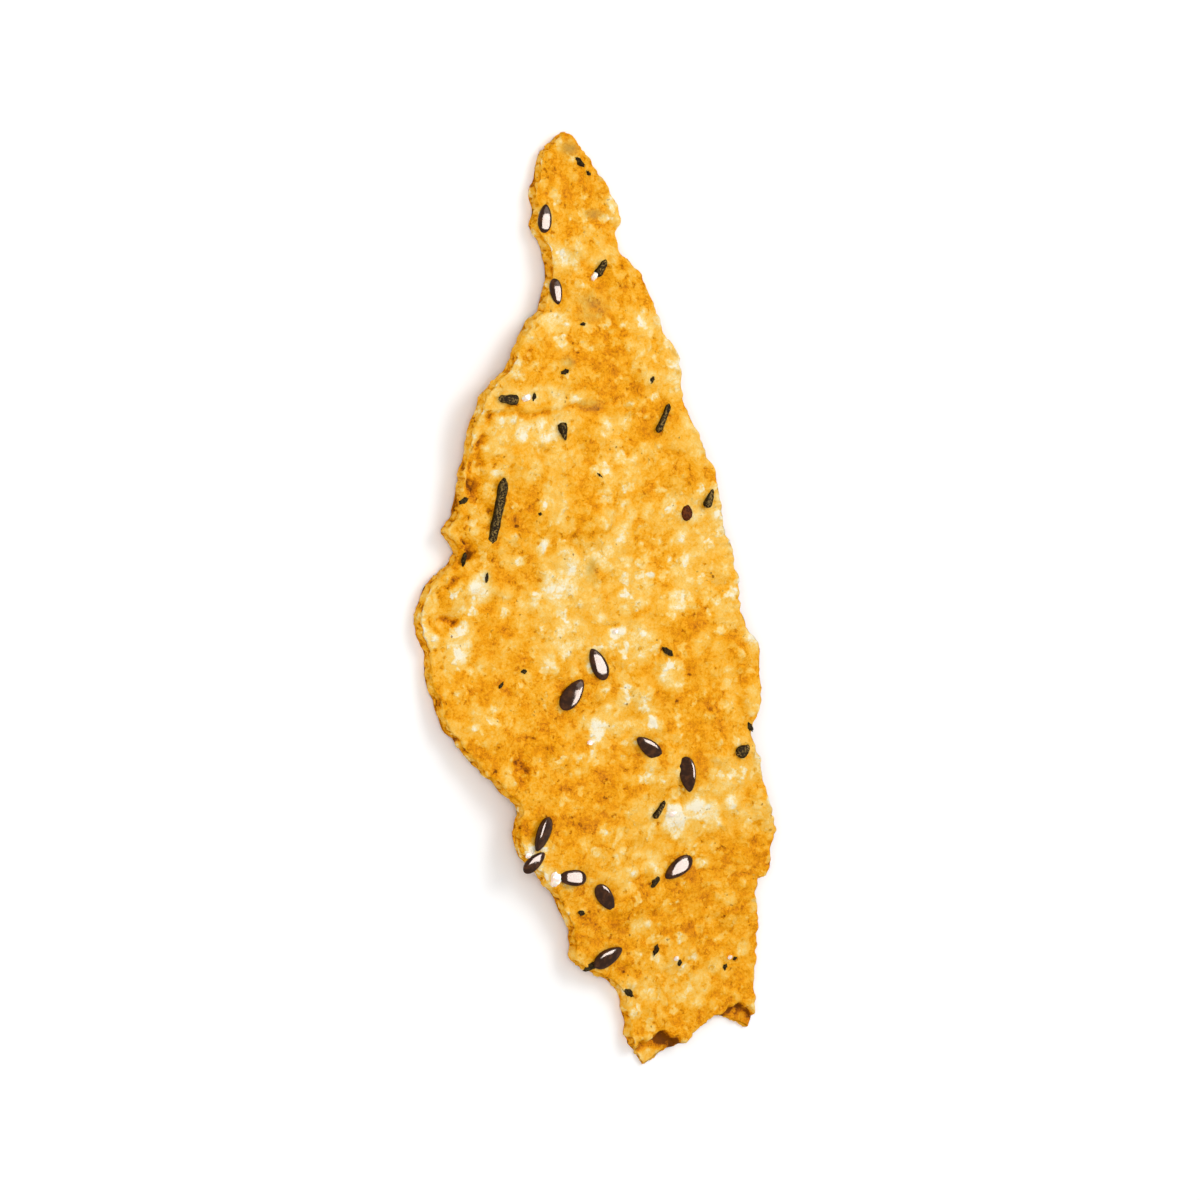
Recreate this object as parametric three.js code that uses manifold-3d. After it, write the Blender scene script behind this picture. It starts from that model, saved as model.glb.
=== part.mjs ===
// An olive oil cracker: one thin, blistered sheet of baked dough, broken by hand to a tall leaf with a
// narrow tip, with flax seeds and bits of rosemary baked into its upper face. It lies on a table and
// touches it at four spots. Millimetres: +Z is up, +Y runs from the foot to the tip, and the origin is
// on the table under the middle of the sheet.
import * as THREE from "three";
import { mergeVertices } from "three/addons/utils/BufferGeometryUtils.js";
import Module from "manifold-3d";

const wasm = await Module();
wasm.setup();

// Driving dimensions
const LENGTH = 140; // foot to tip
const WIDTH = 60; // across the belly
const SHEET = 2.4; // thickness of the dough
const LIFT = 3.2; // how far the sheet arches off the table between the spots it rests on
const REST_REACH = 23; // how far from such a spot the arch takes to rise
const REST_SINK = 0.14; // what the table flattens off each spot
const RIM_BULGE = 0.45; // how far the broken rim stands out at half its thickness

// How far the rim wanders from its outline, and how far it is from one turn to the next
const CRINKLES = [{ reach: 0.45, pitch: 6.3 }, { reach: 0.42, pitch: 2.2 }];
const CRINKLE_FADE = 3.5; // the length over which it dies out at each corner of the outline

// The broken outline, [x, y] from below the belly's middle and from the foot's lowest corner
const LEFT_RIM = [
  [9, 0], [6.5, 4], [6, 8], [4, 11.5], [-3.5, 16], [-4.5, 21], [-7, 25.5], [-12, 31], [-14, 35],
  [-14, 38.5], [-16.5, 41.5], [-22.5, 47.5], [-25, 52.5], [-27.5, 59], [-29, 68], [-26.5, 72.5],
  [-23, 76.5], [-25, 80], [-23, 86], [-22.5, 90], [-20.5, 97.5], [-19, 101], [-16, 103.5],
  [-12, 110.5], [-9, 114], [-8, 120], [-9.5, 126], [-9.5, 133], [-8.5, 136.5],
];
const RIGHT_RIM = [
  [27, 5], [28, 8.5], [27.5, 18], [26.5, 28], [28.5, 28.5], [29.5, 35.5], [28, 41], [25.5, 49],
  [27, 60], [24, 66.5], [22.5, 74.5], [20, 83], [18.5, 89.5], [14.5, 96.5], [13, 103],
  [8, 116.5], [5, 121], [3, 125], [3.5, 127.5], [1.5, 132], [-1.5, 136],
];
const FOOT_RIM = [[9, 0], [13, 2], [16.5, 3.5], [21, 6.5], [24, 6.5], [27, 5]];
const TIP_RIM = [[-8.5, 136.5], [-6, 139.5], [-4, 139], [-1.5, 136]];

// Where the sheet rests: both corners of the foot, the belly and the tip
const REST_SPOTS = [[11, 4], [24.5, 10], [-23.5, 65], [-6, 132]];

// Broken bubbles at the foot, where the upper skin is gone: middle, half width and half height
const POCKETS = [[11.2, 0, 4.6, 4.2], [24.4, 4.6, 4.4, 3.8]];
const LOWER_SKIN = 0.8; // its thickness, all that is left under a broken bubble

// Where the upper skin laps over itself: raised beyond a line across the sheet, and dying away
const LAP = { from: [-22.4, 96.9], to: [0.2, 99.4], height: 0.5, depth: 9 };

// Bubbles that burst and sank: [x, y, half width, half height, depth]
const PITS = [
  [-24.5, 66.1, 2.2, 1.4, 0.6], [-21, 88.4, 1.6, 3.4, 0.5], [-13.6, 45, 1.3, 2.8, 0.5],
  [-23.6, 76, 1.3, 1.8, 0.5],
];

// Domes that steam raised in the dough, one in each cell of a jittered lattice
const BLISTERS = { cell: 7.5, radius: [2.4, 4.6], height: [0.15, 0.95] };
const BUBBLES = { cell: 3.4, radius: [1.3, 2.1], height: [0.05, 0.4] };

// Flax seeds, [x, y, degrees from +X to the pointed end, length], and how wide and thick one is for
// its length
const SEEDS = [
  [-8.9, 126.7, 85, 4.3], [-7.4, 115.8, -80, 4], [-0.8, 60.2, 117, 5.2], [-5, 55.7, 52, 5.6],
  [7.5, 47.7, 144, 5.1], [13.8, 43.6, -81, 5.4], [-10.6, 35, -114, 5.5], [-12, 30.8, 40, 4.4],
  [-5.5, 28.4, 177, 4.7], [0.5, 25.3, -53, 5], [13.4, 29.5, -146, 5.4], [1.3, 16.3, 28, 5.4],
];
const SEED_WIDTH = 0.49;
const SEED_THICKNESS = 0.22;

// Bits of rosemary, [x, y, degrees from +X, length, width]
const ROSEMARY = [
  [-17.5, 83, 81, 10, 1.4], [9.9, 97.1, 65, 4.8, 1.1], [-16.6, 99.5, -3, 3.4, 1.3],
  [-6.9, 94.9, 100, 2.6, 1], [0.3, 119.5, 55, 3, 1.2], [17.5, 85.1, 58, 2.9, 1.2],
  [23.3, 47, 30, 2.6, 1.8], [9.5, 38.3, 50, 3.2, 1],
];
const ROSEMARY_THICKNESS = 0.8;
const TOPPING_PROUD = 0.15; // of its thickness, how far a topping's middle lies above the dough

// Grid across the sheet and along it; the underside is half as fine
const ACROSS = 40;
const ALONG = 88;

// A fixed number from 0 to 1 for each set of keys
function chance(a, b = 0, c = 0) {
  const h = Math.sin(a * 127.1 + b * 311.7 + c * 74.7) * 43758.5453;
  return h - Math.floor(h);
}

const between = ([low, high], share) => low + (high - low) * share;
const ease = (t) => t * t * (3 - 2 * t);

// Noise along a line, from -1 to 1, with a new value at each whole number and straight between them
function wander(t, seed) {
  const cell = Math.floor(t);
  const here = chance(cell, seed);
  const next = chance(cell + 1, seed);
  return 2 * (here + (next - here) * (t - cell)) - 1;
}

// From 0 where value is at low to 1 where it is at high, level at both
const rise = (low, high, value) => ease(THREE.MathUtils.clamp((value - low) / (high - low), 0, 1));

// One side of the outline as points from its first end to its last, evenly spaced and crinkled.
// The crinkle dies out at both ends, so that the sides meet.
function crinkledSide(corners, steps, seed) {
  const curve = new THREE.SplineCurve(corners.map(([x, y]) => new THREE.Vector2(x, y)));
  const length = curve.getLength();
  const points = [];
  for (let k = 0; k <= steps; k++) {
    const t = k / steps;
    const along = curve.getTangentAt(t);
    const fade = Math.min(1, (Math.min(t, 1 - t) * length) / CRINKLE_FADE);
    const offset = CRINKLES.reduce(
      (sum, { reach, pitch }, n) => sum + reach * fade * wander((t * length) / pitch, seed + 5 * n), 0);
    points.push(curve.getPointAt(t).add(new THREE.Vector2(along.y, -along.x).multiplyScalar(offset)));
  }
  return points;
}

const sides = {
  left: crinkledSide(LEFT_RIM, ALONG, 11),
  right: crinkledSide(RIGHT_RIM, ALONG, 23),
  foot: crinkledSide(FOOT_RIM, ACROSS, 37),
  tip: crinkledSide(TIP_RIM, ACROSS, 41),
};

// Outline coordinates to the part's own: the sheet, rim included, fills LENGTH by WIDTH about the origin
const outlineBox = new THREE.Box2().setFromPoints(Object.values(sides).flat());
const outlineMiddle = outlineBox.getCenter(new THREE.Vector2());
const outlineFit = new THREE.Vector2(WIDTH, LENGTH)
  .subScalar(2 * RIM_BULGE)
  .divide(outlineBox.getSize(new THREE.Vector2()));
const placed = (x, y) => new THREE.Vector2(x, y).sub(outlineMiddle).multiply(outlineFit);

// A point of the sheet, u from 0 at the left rim to 1 at the right and v from 0 at the foot to 1 at
// the tip, blended from the four sides
function sheetPoint(i, j) {
  const u = i / ACROSS;
  const v = j / ALONG;
  const corner = (a, b, weight) => [sides[a].at(b), weight];
  const parts = [
    [sides.foot[i], 1 - v],
    [sides.tip[i], v],
    [sides.left[j], 1 - u],
    [sides.right[j], u],
    corner("foot", 0, -(1 - u) * (1 - v)),
    corner("foot", -1, -u * (1 - v)),
    corner("tip", 0, -(1 - u) * v),
    corner("tip", -1, -u * v),
  ];
  const point = new THREE.Vector2();
  parts.forEach(([part, weight]) => point.addScaledVector(part, weight));
  return placed(point.x, point.y);
}

const restSpots = REST_SPOTS.map(([x, y]) => placed(x, y));
const pockets = POCKETS.map(([x, y, halfWidth, halfHeight]) => ({
  middle: placed(x, y),
  reach: new THREE.Vector2(halfWidth, halfHeight),
}));

// From 0 at the spots that touch the table to 1 well away from them
function arch(point) {
  return restSpots.reduce(
    (share, spot) => share * (1 - Math.exp(-((point.distanceTo(spot) / REST_REACH) ** 2))), 1);
}

// Slow waves of the whole sheet
const SLOW_WAVE = { height: 0.4, across: 33, along: 47, phase: 1.1 };
const SHORT_WAVE = { height: 0.28, across: -60, along: 23, phase: 4 };
function wave({ height, across, along, phase }, point) {
  return height * Math.sin(2 * Math.PI * (point.x / across + point.y / along) + phase);
}

// Height at a point of a lattice's domes; seed tells the upper face's from the underside's
function domes(point, { cell, radius, height }, seed) {
  const column = Math.floor(point.x / cell);
  const row = Math.floor(point.y / cell);
  let highest = 0;
  for (let i = column - 1; i <= column + 1; i++) {
    for (let j = row - 1; j <= row + 1; j++) {
      const x = (i + chance(i, j, seed)) * cell;
      const y = (j + chance(i, j, seed + 1)) * cell;
      const reach = between(radius, chance(i, j, seed + 2));
      const near = 1 - Math.min(1, Math.hypot(point.x - x, point.y - y) / reach) ** 2;
      highest = Math.max(highest, between(height, chance(i, j, seed + 3) ** 2) * near * near);
    }
  }
  return highest;
}

// How high the lap stands at a point
function lap(point) {
  const [from, to] = [placed(...LAP.from), placed(...LAP.to)];
  const share = (point.x - from.x) / (to.x - from.x);
  const beyond = point.y - from.y - share * (to.y - from.y);
  const within = rise(-0.05, 0.08, share) * rise(1.1, 0.8, share);
  return LAP.height * within * rise(-0.2, 0.25, beyond) * Math.exp(-Math.max(0, beyond) / LAP.depth);
}

// How deep the pits are at a point
function pits(point) {
  return Math.max(...PITS.map(([x, y, halfWidth, halfHeight, depth]) => {
    const away = point.clone().sub(placed(x, y)).divide(new THREE.Vector2(halfWidth, halfHeight));
    return depth * rise(1.2, 0.3, away.length());
  }));
}

function inPocket(point) {
  return pockets.some(({ middle, reach }) => point.clone().sub(middle).divide(reach).length() < 1);
}

function underside(point) {
  const share = arch(point);
  const waves = wave(SLOW_WAVE, point) + wave(SHORT_WAVE, point);
  const height = LIFT * share - REST_SINK + share * (waves - 0.5 * domes(point, BLISTERS, 7));
  return Math.max(0, height);
}

function upperFace(point) {
  const share = arch(point);
  const waves = wave(SLOW_WAVE, point) + wave(SHORT_WAVE, point);
  const lower = LIFT * share - REST_SINK + share * waves;
  if (inPocket(point)) {
    return lower + LOWER_SKIN;
  }
  return lower + SHEET + domes(point, BLISTERS, 3) + domes(point, BUBBLES, 13) + lap(point) - pits(point);
}

// The sheet as one closed surface: both faces, and a rim between them that bulges half way up
function sheetGeometry() {
  const positions = [];
  const index = [];
  const addVertex = (point, z) => positions.push(point.x, point.y, z) / 3 - 1;
  const addQuad = (a, b, c, d) => index.push(a, b, c, a, c, d);

  function addFace(step, heightAt, up) {
    const rows = [];
    for (let j = 0; j <= ALONG; j += step) {
      const row = [];
      for (let i = 0; i <= ACROSS; i += step) {
        const point = sheetPoint(i, j);
        row.push(addVertex(point, heightAt(point)));
      }
      rows.push(row);
    }
    for (let j = 1; j < rows.length; j++) {
      for (let i = 1; i < rows[j].length; i++) {
        const quad = [rows[j - 1][i - 1], rows[j - 1][i], rows[j][i], rows[j][i - 1]];
        addQuad(...(up ? quad : quad.reverse()));
      }
    }
    return [
      ...rows[0].slice(0, -1),
      ...rows.slice(0, -1).map((row) => row.at(-1)),
      ...rows.at(-1).slice(1).reverse(),
      ...rows.slice(1).map((row) => row[0]).reverse(),
    ];
  }

  const upperRing = addFace(1, upperFace, true);
  const lowerRing = addFace(2, underside, false);
  const vertex = (k) => new THREE.Vector3().fromArray(positions, 3 * k);

  const bulgeRing = upperRing.map((top, k) => {
    const before = vertex(upperRing.at(k - 1));
    const after = vertex(upperRing[(k + 1) % upperRing.length]);
    const along = after.sub(before).setZ(0).normalize();
    const bottom = vertex(lowerRing[Math.floor(k / 2)]);
    const middle = vertex(top);
    const out = RIM_BULGE * (0.4 + 0.6 * chance(k, 5));
    return addVertex(
      new THREE.Vector2(middle.x + along.y * out, middle.y - along.x * out),
      Math.max(0.3, (middle.z + bottom.z) / 2));
  });

  for (let k = 0; k < upperRing.length; k++) {
    const next = (k + 1) % upperRing.length;
    addQuad(bulgeRing[k], bulgeRing[next], upperRing[next], upperRing[k]);
    if (k % 2 === 0) {
      const here = lowerRing[k / 2];
      const there = lowerRing[(k / 2 + 1) % lowerRing.length];
      const last = bulgeRing[(k + 2) % bulgeRing.length];
      index.push(here, bulgeRing[next], bulgeRing[k]);
      index.push(here, there, bulgeRing[next]);
      index.push(there, last, bulgeRing[next]);
    }
  }

  const geometry = new THREE.BufferGeometry();
  geometry.setAttribute("position", new THREE.Float32BufferAttribute(positions, 3));
  geometry.setIndex(index);
  return geometry;
}

// A flax seed: a flat oval drawn out to a point at one end
function seedGeometry(length) {
  const geometry = new THREE.OctahedronGeometry(1, 1);
  const corners = geometry.getAttribute("position");
  for (let k = 0; k < corners.count; k++) {
    const along = corners.getX(k);
    const taper = 1 - 0.35 * Math.max(0, along);
    corners.setXYZ(k, along, corners.getY(k) * taper, corners.getZ(k) * taper);
  }
  return geometry.scale(length / 2, (SEED_WIDTH * length) / 2, (SEED_THICKNESS * length) / 2);
}

// A bit of a rosemary needle: a round-backed rod
function rosemaryGeometry(length, width) {
  const geometry = new THREE.CylinderGeometry(width / 2, (width / 2) * 0.8, length, 6);
  geometry.rotateZ(-Math.PI / 2);
  geometry.scale(1, 1, ROSEMARY_THICKNESS / width);
  return geometry;
}

// Lays a topping on the upper face, turned, with its middle a little above the dough
function laid(geometry, [x, y, degrees], thickness) {
  const point = placed(x, y);
  const height = upperFace(point) + TOPPING_PROUD * thickness;
  return geometry.rotateZ(THREE.MathUtils.degToRad(degrees)).translate(point.x, point.y, height);
}

function toSolid(geometry) {
  const bare = geometry.clone().deleteAttribute("normal").deleteAttribute("uv");
  const merged = mergeVertices(bare, 1e-4);
  return new wasm.Manifold(new wasm.Mesh({
    numProp: 3,
    vertProperties: merged.getAttribute("position").array,
    triVerts: new Uint32Array(merged.index.array),
  }));
}

function toGeometry(solid) {
  const mesh = solid.getMesh();
  const geometry = new THREE.BufferGeometry();
  geometry.setAttribute("position", new THREE.BufferAttribute(mesh.vertProperties, 3));
  geometry.setIndex(new THREE.BufferAttribute(mesh.triVerts, 1));
  geometry.computeVertexNormals();
  return geometry;
}

function crackerSolid() {
  const seeds = SEEDS.map(([x, y, degrees, length]) =>
    laid(seedGeometry(length), [x, y, degrees], SEED_THICKNESS * length));
  const rosemary = ROSEMARY.map(([x, y, degrees, length, width]) =>
    laid(rosemaryGeometry(length, width), [x, y, degrees], ROSEMARY_THICKNESS));
  return [...seeds, ...rosemary].reduce(
    (whole, topping) => whole.add(toSolid(topping)), toSolid(sheetGeometry()));
}

const bakedDough = new THREE.MeshStandardMaterial({ color: "#f0ae45", roughness: 0.6, metalness: 0 });

const group = new THREE.Group();
const cracker = new THREE.Mesh(toGeometry(crackerSolid()), bakedDough);
cracker.name = "cracker";
group.add(cracker);

export default group;
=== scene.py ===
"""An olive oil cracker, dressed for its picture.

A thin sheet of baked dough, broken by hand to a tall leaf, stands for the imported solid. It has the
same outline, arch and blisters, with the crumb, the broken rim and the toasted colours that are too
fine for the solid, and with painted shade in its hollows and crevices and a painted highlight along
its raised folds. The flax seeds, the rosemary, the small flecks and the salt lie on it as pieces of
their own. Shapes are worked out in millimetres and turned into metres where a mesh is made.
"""
import logging
import math
from collections.abc import Sequence
from dataclasses import dataclass, field
from enum import Enum

import bpy
import numpy as np
from mathutils import Matrix, Vector


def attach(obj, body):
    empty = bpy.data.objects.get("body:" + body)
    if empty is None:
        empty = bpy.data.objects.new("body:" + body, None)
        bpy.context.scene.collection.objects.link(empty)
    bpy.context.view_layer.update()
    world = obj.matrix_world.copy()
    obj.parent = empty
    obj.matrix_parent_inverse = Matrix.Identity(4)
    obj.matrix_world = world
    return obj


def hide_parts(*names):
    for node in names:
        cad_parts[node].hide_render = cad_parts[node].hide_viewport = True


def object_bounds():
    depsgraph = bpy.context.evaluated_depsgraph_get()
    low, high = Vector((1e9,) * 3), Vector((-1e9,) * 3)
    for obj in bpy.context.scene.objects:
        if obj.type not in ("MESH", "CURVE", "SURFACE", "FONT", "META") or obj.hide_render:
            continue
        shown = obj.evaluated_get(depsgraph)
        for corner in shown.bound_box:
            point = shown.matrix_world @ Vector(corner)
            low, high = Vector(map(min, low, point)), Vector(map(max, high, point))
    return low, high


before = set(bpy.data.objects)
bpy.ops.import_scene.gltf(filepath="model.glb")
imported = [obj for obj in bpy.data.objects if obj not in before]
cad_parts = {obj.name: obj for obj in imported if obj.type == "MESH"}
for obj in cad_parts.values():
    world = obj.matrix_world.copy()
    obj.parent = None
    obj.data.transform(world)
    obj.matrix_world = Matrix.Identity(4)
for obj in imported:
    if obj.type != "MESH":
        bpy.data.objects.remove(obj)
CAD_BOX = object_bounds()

Array = np.ndarray
Color = tuple[float, float, float]
Blots = tuple[float, float, float]  # width in millimetres, finer layers, how strong those are
Range = tuple[float, ...]  # what becomes 0, what becomes the top, and the top where it isn't 1

MM = 0.001
CHANCE_KEYS = (127.1, 311.7, 74.7)
CHANCE_SPREAD = 43758.5453
log = logging.getLogger("cracker")


# Chance and noise


def chance(a: Array | float, b: Array | float = 0.0, c: float = 0.0) -> Array:
    """Draws a fixed number from 0 to 1 for each set of keys.

    Args:
        a: The first key, a number or an array of them.
        b: The second key.
        c: The third key, such as a seed.

    Returns:
        The number for each set of keys.
    """
    first, second, third = CHANCE_KEYS
    h = np.sin(np.asarray(a) * first + np.asarray(b) * second + c * third) * CHANCE_SPREAD
    return h - np.floor(h)


def ease(t: Array) -> Array:
    """Turns a straight 0 to 1 into one that starts and ends level."""
    return t * t * (3 - 2 * t)


def step(low: float, high: float, value: Array) -> Array:
    """Rises smoothly from 0 where value is at low to 1 where it is at high."""
    return ease(np.clip((value - low) / (high - low), 0, 1))


def jag(t: Array, seed: float) -> Array:
    """Goes straight from one value between -1 and 1 to the next, with a new one at each whole number.

    Args:
        t: Places along a line.
        seed: Which walk it is.

    Returns:
        The value at each place.
    """
    cell = np.floor(t)
    here = chance(cell, seed)
    following = chance(cell + 1, seed)
    return 2 * (here + (following - here) * (t - cell)) - 1


def wander(t: Array, seed: float) -> Array:
    """Goes smoothly from one value between -1 and 1 to the next, as jag does straight."""
    cell = np.floor(t)
    return jag(cell + ease(t - cell), seed)


@dataclass(frozen=True)
class Noise:
    """Smooth noise over the sheet, from -strength to strength, with a new value at each pitch."""

    pitch: float
    seed: float
    octaves: int = 1
    strength: float = 1.0
    octave_seeds: float = 17

    def at(self, points: Array) -> Array:
        """Works out the noise, each octave half as wide and half as strong as the last.

        Args:
            points: Places in millimetres, with x and y in the last axis.

        Returns:
            The noise at each place.
        """
        total = np.zeros(points.shape[:-1])
        reach = 0.0
        for octave in range(self.octaves):
            share = 0.5**octave
            x = points[..., 0] * 2**octave / self.pitch
            y = points[..., 1] * 2**octave / self.pitch
            column, row = np.floor(x), np.floor(y)
            right, up = ease(x - column), ease(y - row)
            key = self.seed + self.octave_seeds * octave
            low, high = (
                chance(column, line, key) * (1 - right) + chance(column + 1, line, key) * right
                for line in (row, row + 1)
            )
            total += share * (2 * (low * (1 - up) + high * up) - 1)
            reach += share
        return self.strength * (total / reach)


def shove(noises: tuple[Noise, Noise], points: Array) -> Array:
    """How far two noises, one for x and one for y, move each place."""
    return np.stack([noise.at(points) for noise in noises], axis=-1)


@dataclass(frozen=True)
class Domes:
    """Round bumps on the dough, one in each cell of a jittered lattice, in millimetres."""

    cell: float
    radius: tuple[float, float]
    height: tuple[float, float]
    pale_from: float = 0.08
    pale_to: float = 0.6

    def at(self, points: Array, seed: float) -> tuple[Array, Array]:
        """Works out the bumps' height and how pale each one is.

        Args:
            points: Places in millimetres, with x and y in the last axis.
            seed: Which set of bumps it is.

        Returns:
            The height at each place, and from 0 to 1 how pale the bump there is, fading to its foot.
        """
        column = np.floor(points[..., 0] / self.cell)
        row = np.floor(points[..., 1] / self.cell)
        highest = np.zeros(points.shape[:-1])
        paleness = np.zeros(points.shape[:-1])
        for across in (-1, 0, 1):
            for along in (-1, 0, 1):
                i, j = column + across, row + along
                x = (i + chance(i, j, seed)) * self.cell
                y = (j + chance(i, j, seed + 1)) * self.cell
                reach = self._between(self.radius, chance(i, j, seed + 2))
                away = np.hypot(points[..., 0] - x, points[..., 1] - y) / reach
                near = (1 - np.minimum(1, away) ** 2) ** 2
                highest = np.maximum(highest, self._between(self.height, chance(i, j, seed + 3) ** 2) * near)
                pale = chance(i, j, seed + 4) * step(self.pale_from, self.pale_to, near)
                paleness = np.maximum(paleness, pale)
        return highest, paleness

    @staticmethod
    def _between(limits: tuple[float, float], share: Array) -> Array:
        """A value between two limits."""
        return limits[0] + (limits[1] - limits[0]) * share


# The sheet's outline and relief, as the solid has them


@dataclass(frozen=True)
class BrokenSide:
    """One side of the outline: a smooth curve through its corners that crinkles on the way."""

    corners: tuple[tuple[float, float], ...]
    seed: float
    crinkles: tuple[tuple[float, float], ...] = ((0.45, 6.3), (0.42, 2.2), (0.22, 0.9))
    fade_length: float = 3.5
    divisions: int = 200
    nudge: float = 1e-4

    def points(self, steps: int) -> Array:
        """Follows the side from its first corner to its last.

        Args:
            steps: How many equal steps to take.

        Returns:
            The steps + 1 points, in millimetres.
        """
        raw = np.linspace(0, 1, self.divisions + 1)
        strides = np.linalg.norm(np.diff(self._spline(raw), axis=0), axis=1)
        lengths = np.concatenate([[0], np.cumsum(strides)])
        length = lengths[-1]
        share = np.linspace(0, 1, steps + 1)
        t = np.interp(share * length, lengths, raw)
        along = self._spline(np.minimum(1, t + self.nudge)) - self._spline(np.maximum(0, t - self.nudge))
        along /= np.linalg.norm(along, axis=1, keepdims=True)
        fade = np.minimum(1, np.minimum(share, 1 - share) * length / self.fade_length)
        offset = np.zeros(steps + 1)
        for number, (reach, pitch) in enumerate(self.crinkles):
            offset += reach * fade * jag(share * length / pitch, self.seed + 5 * number)
        outward = np.stack([along[:, 1], -along[:, 0]], axis=1)
        return self._spline(t) + outward * offset[:, None]

    def _spline(self, t: Array) -> Array:
        """Follows the smooth curve through the corners.

        Args:
            t: From 0 at the first corner to 1 at the last.

        Returns:
            The curve's point for each t.
        """
        corners = np.array(self.corners)
        last = len(corners) - 1
        place = t * last
        k = np.minimum(np.floor(place).astype(int), last)
        w = (place - k)[:, None]
        p0 = corners[np.maximum(k - 1, 0)]
        p1 = corners[k]
        p2 = corners[np.minimum(k + 1, last)]
        p3 = corners[np.minimum(k + 2, last)]
        v0, v1 = (p2 - p0) / 2, (p3 - p1) / 2
        cubic = 2 * p1 - 2 * p2 + v0 + v1
        square = 3 * p2 - 3 * p1 - 2 * v0 - v1
        return cubic * w**3 + square * w**2 + v0 * w + p1


@dataclass(frozen=True)
class Outline:
    """The sheet's broken outline, whose four sides are blended into a grid over the whole sheet."""

    length: float = 140.0
    width: float = 60.0
    rim_bulge: float = 0.45
    solid_across: int = 40
    solid_along: int = 88
    left: BrokenSide = BrokenSide(
        (
            (9, 0), (6.5, 4), (6, 8), (4, 11.5), (-3.5, 16), (-4.5, 21), (-7, 25.5), (-12, 31), (-14, 35),
            (-14, 38.5), (-16.5, 41.5), (-22.5, 47.5), (-25, 52.5), (-27.5, 59), (-29, 68), (-26.5, 72.5),
            (-23, 76.5), (-25, 80), (-23, 86), (-22.5, 90), (-20.5, 97.5), (-19, 101), (-16, 103.5),
            (-12, 110.5), (-9, 114), (-8, 120), (-9.5, 126), (-9.5, 133), (-8.5, 136.5),
        ),
        seed=11,
    )
    right: BrokenSide = BrokenSide(
        (
            (27, 5), (28, 8.5), (27.5, 18), (26.5, 28), (28.5, 28.5), (29.5, 35.5), (28, 41), (25.5, 49),
            (27, 60), (24, 66.5), (22.5, 74.5), (20, 83), (18.5, 89.5), (14.5, 96.5), (13, 103),
            (8, 116.5), (5, 121), (3, 125), (3.5, 127.5), (1.5, 132), (-1.5, 136),
        ),
        seed=23,
    )
    foot: BrokenSide = BrokenSide(((9, 0), (13, 2), (16.5, 3.5), (21, 6.5), (24, 6.5), (27, 5)), seed=37)
    tip: BrokenSide = BrokenSide(((-8.5, 136.5), (-6, 139.5), (-4, 139), (-1.5, 136)), seed=41)

    def placed(self, points: Sequence[Sequence[float]] | Array) -> Array:
        """Moves points from outline coordinates to the part's own.

        Args:
            points: Points counted from below the belly's middle and from the foot's lowest corner.

        Returns:
            The points counted from the middle of the sheet, in millimetres.
        """
        sides = [side.points(self.solid_along) for side in (self.left, self.right)]
        ends = np.vstack(sides + [side.points(self.solid_across) for side in (self.foot, self.tip)])
        low, high = ends.min(axis=0), ends.max(axis=0)
        fit = (np.array([self.width, self.length]) - 2 * self.rim_bulge) / (high - low)
        return (np.asarray(points, float) - (low + high) / 2) * fit

    def grid(self, across: int, along: int) -> Array:
        """Blends the four sides into a grid of points.

        Args:
            across: Cells from the left rim to the right one.
            along: Cells from the foot to the tip.

        Returns:
            Points in the part's own millimetres, as rows from the foot up, each from left to right.
        """
        left, right = self.left.points(along), self.right.points(along)
        foot, tip = self.foot.points(across), self.tip.points(across)
        u = np.linspace(0, 1, across + 1)[None, :, None]
        v = np.linspace(0, 1, along + 1)[:, None, None]
        blend = (1 - v) * foot[None] + v * tip[None] + (1 - u) * left[:, None] + u * right[:, None]
        corners = (1 - v) * ((1 - u) * foot[0] + u * foot[-1]) + v * ((1 - u) * tip[0] + u * tip[-1])
        return self.placed(blend - corners)


@dataclass(frozen=True)
class Wave:
    """A slow wave of the whole sheet, in millimetres."""

    height: float
    across: float
    along: float
    phase: float

    def at(self, points: Array) -> Array:
        """The wave's height at each place."""
        turn = points[..., 0] / self.across + points[..., 1] / self.along
        return self.height * np.sin(2 * math.pi * turn + self.phase)


@dataclass(frozen=True)
class Patch:
    """An oval stretch of dough that differs from the rest, in outline millimetres."""

    x: float
    y: float
    half_width: float
    half_height: float
    strength: float
    edge: float = 0.5
    fray: float = 0.45
    full: float = 0.9

    def at(self, points: Array, outline: Outline, ragged: Array) -> Array:
        """How strong the patch is at each place.

        Args:
            points: Places in millimetres.
            outline: The outline whose coordinates the patch is in.
            ragged: Noise that frays its edge.

        Returns:
            From 0 outside it to its strength inside.
        """
        away = (points - outline.placed((self.x, self.y))) / (self.half_width, self.half_height)
        near = np.linalg.norm(away, axis=-1) + self.fray * ragged
        return self.strength * step(self.full + self.edge, self.full - self.edge, near)


def patches(*rows: tuple[float, ...]) -> tuple[Patch, ...]:
    """Makes a patch of each row: x, y, half its width and height, its strength and its edge."""
    return tuple(Patch(*row) for row in rows)


def strongest(patches: Sequence[Patch], points: Array, outline: Outline, ragged: Array | float) -> Array:
    """The strongest of some patches at each place.

    Args:
        patches: The patches.
        points: Places in millimetres.
        outline: The outline whose coordinates the patches are in.
        ragged: Noise that frays their edges.

    Returns:
        The strength at each place.
    """
    return np.max([patch.at(points, outline, ragged) for patch in patches], axis=0)


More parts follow.
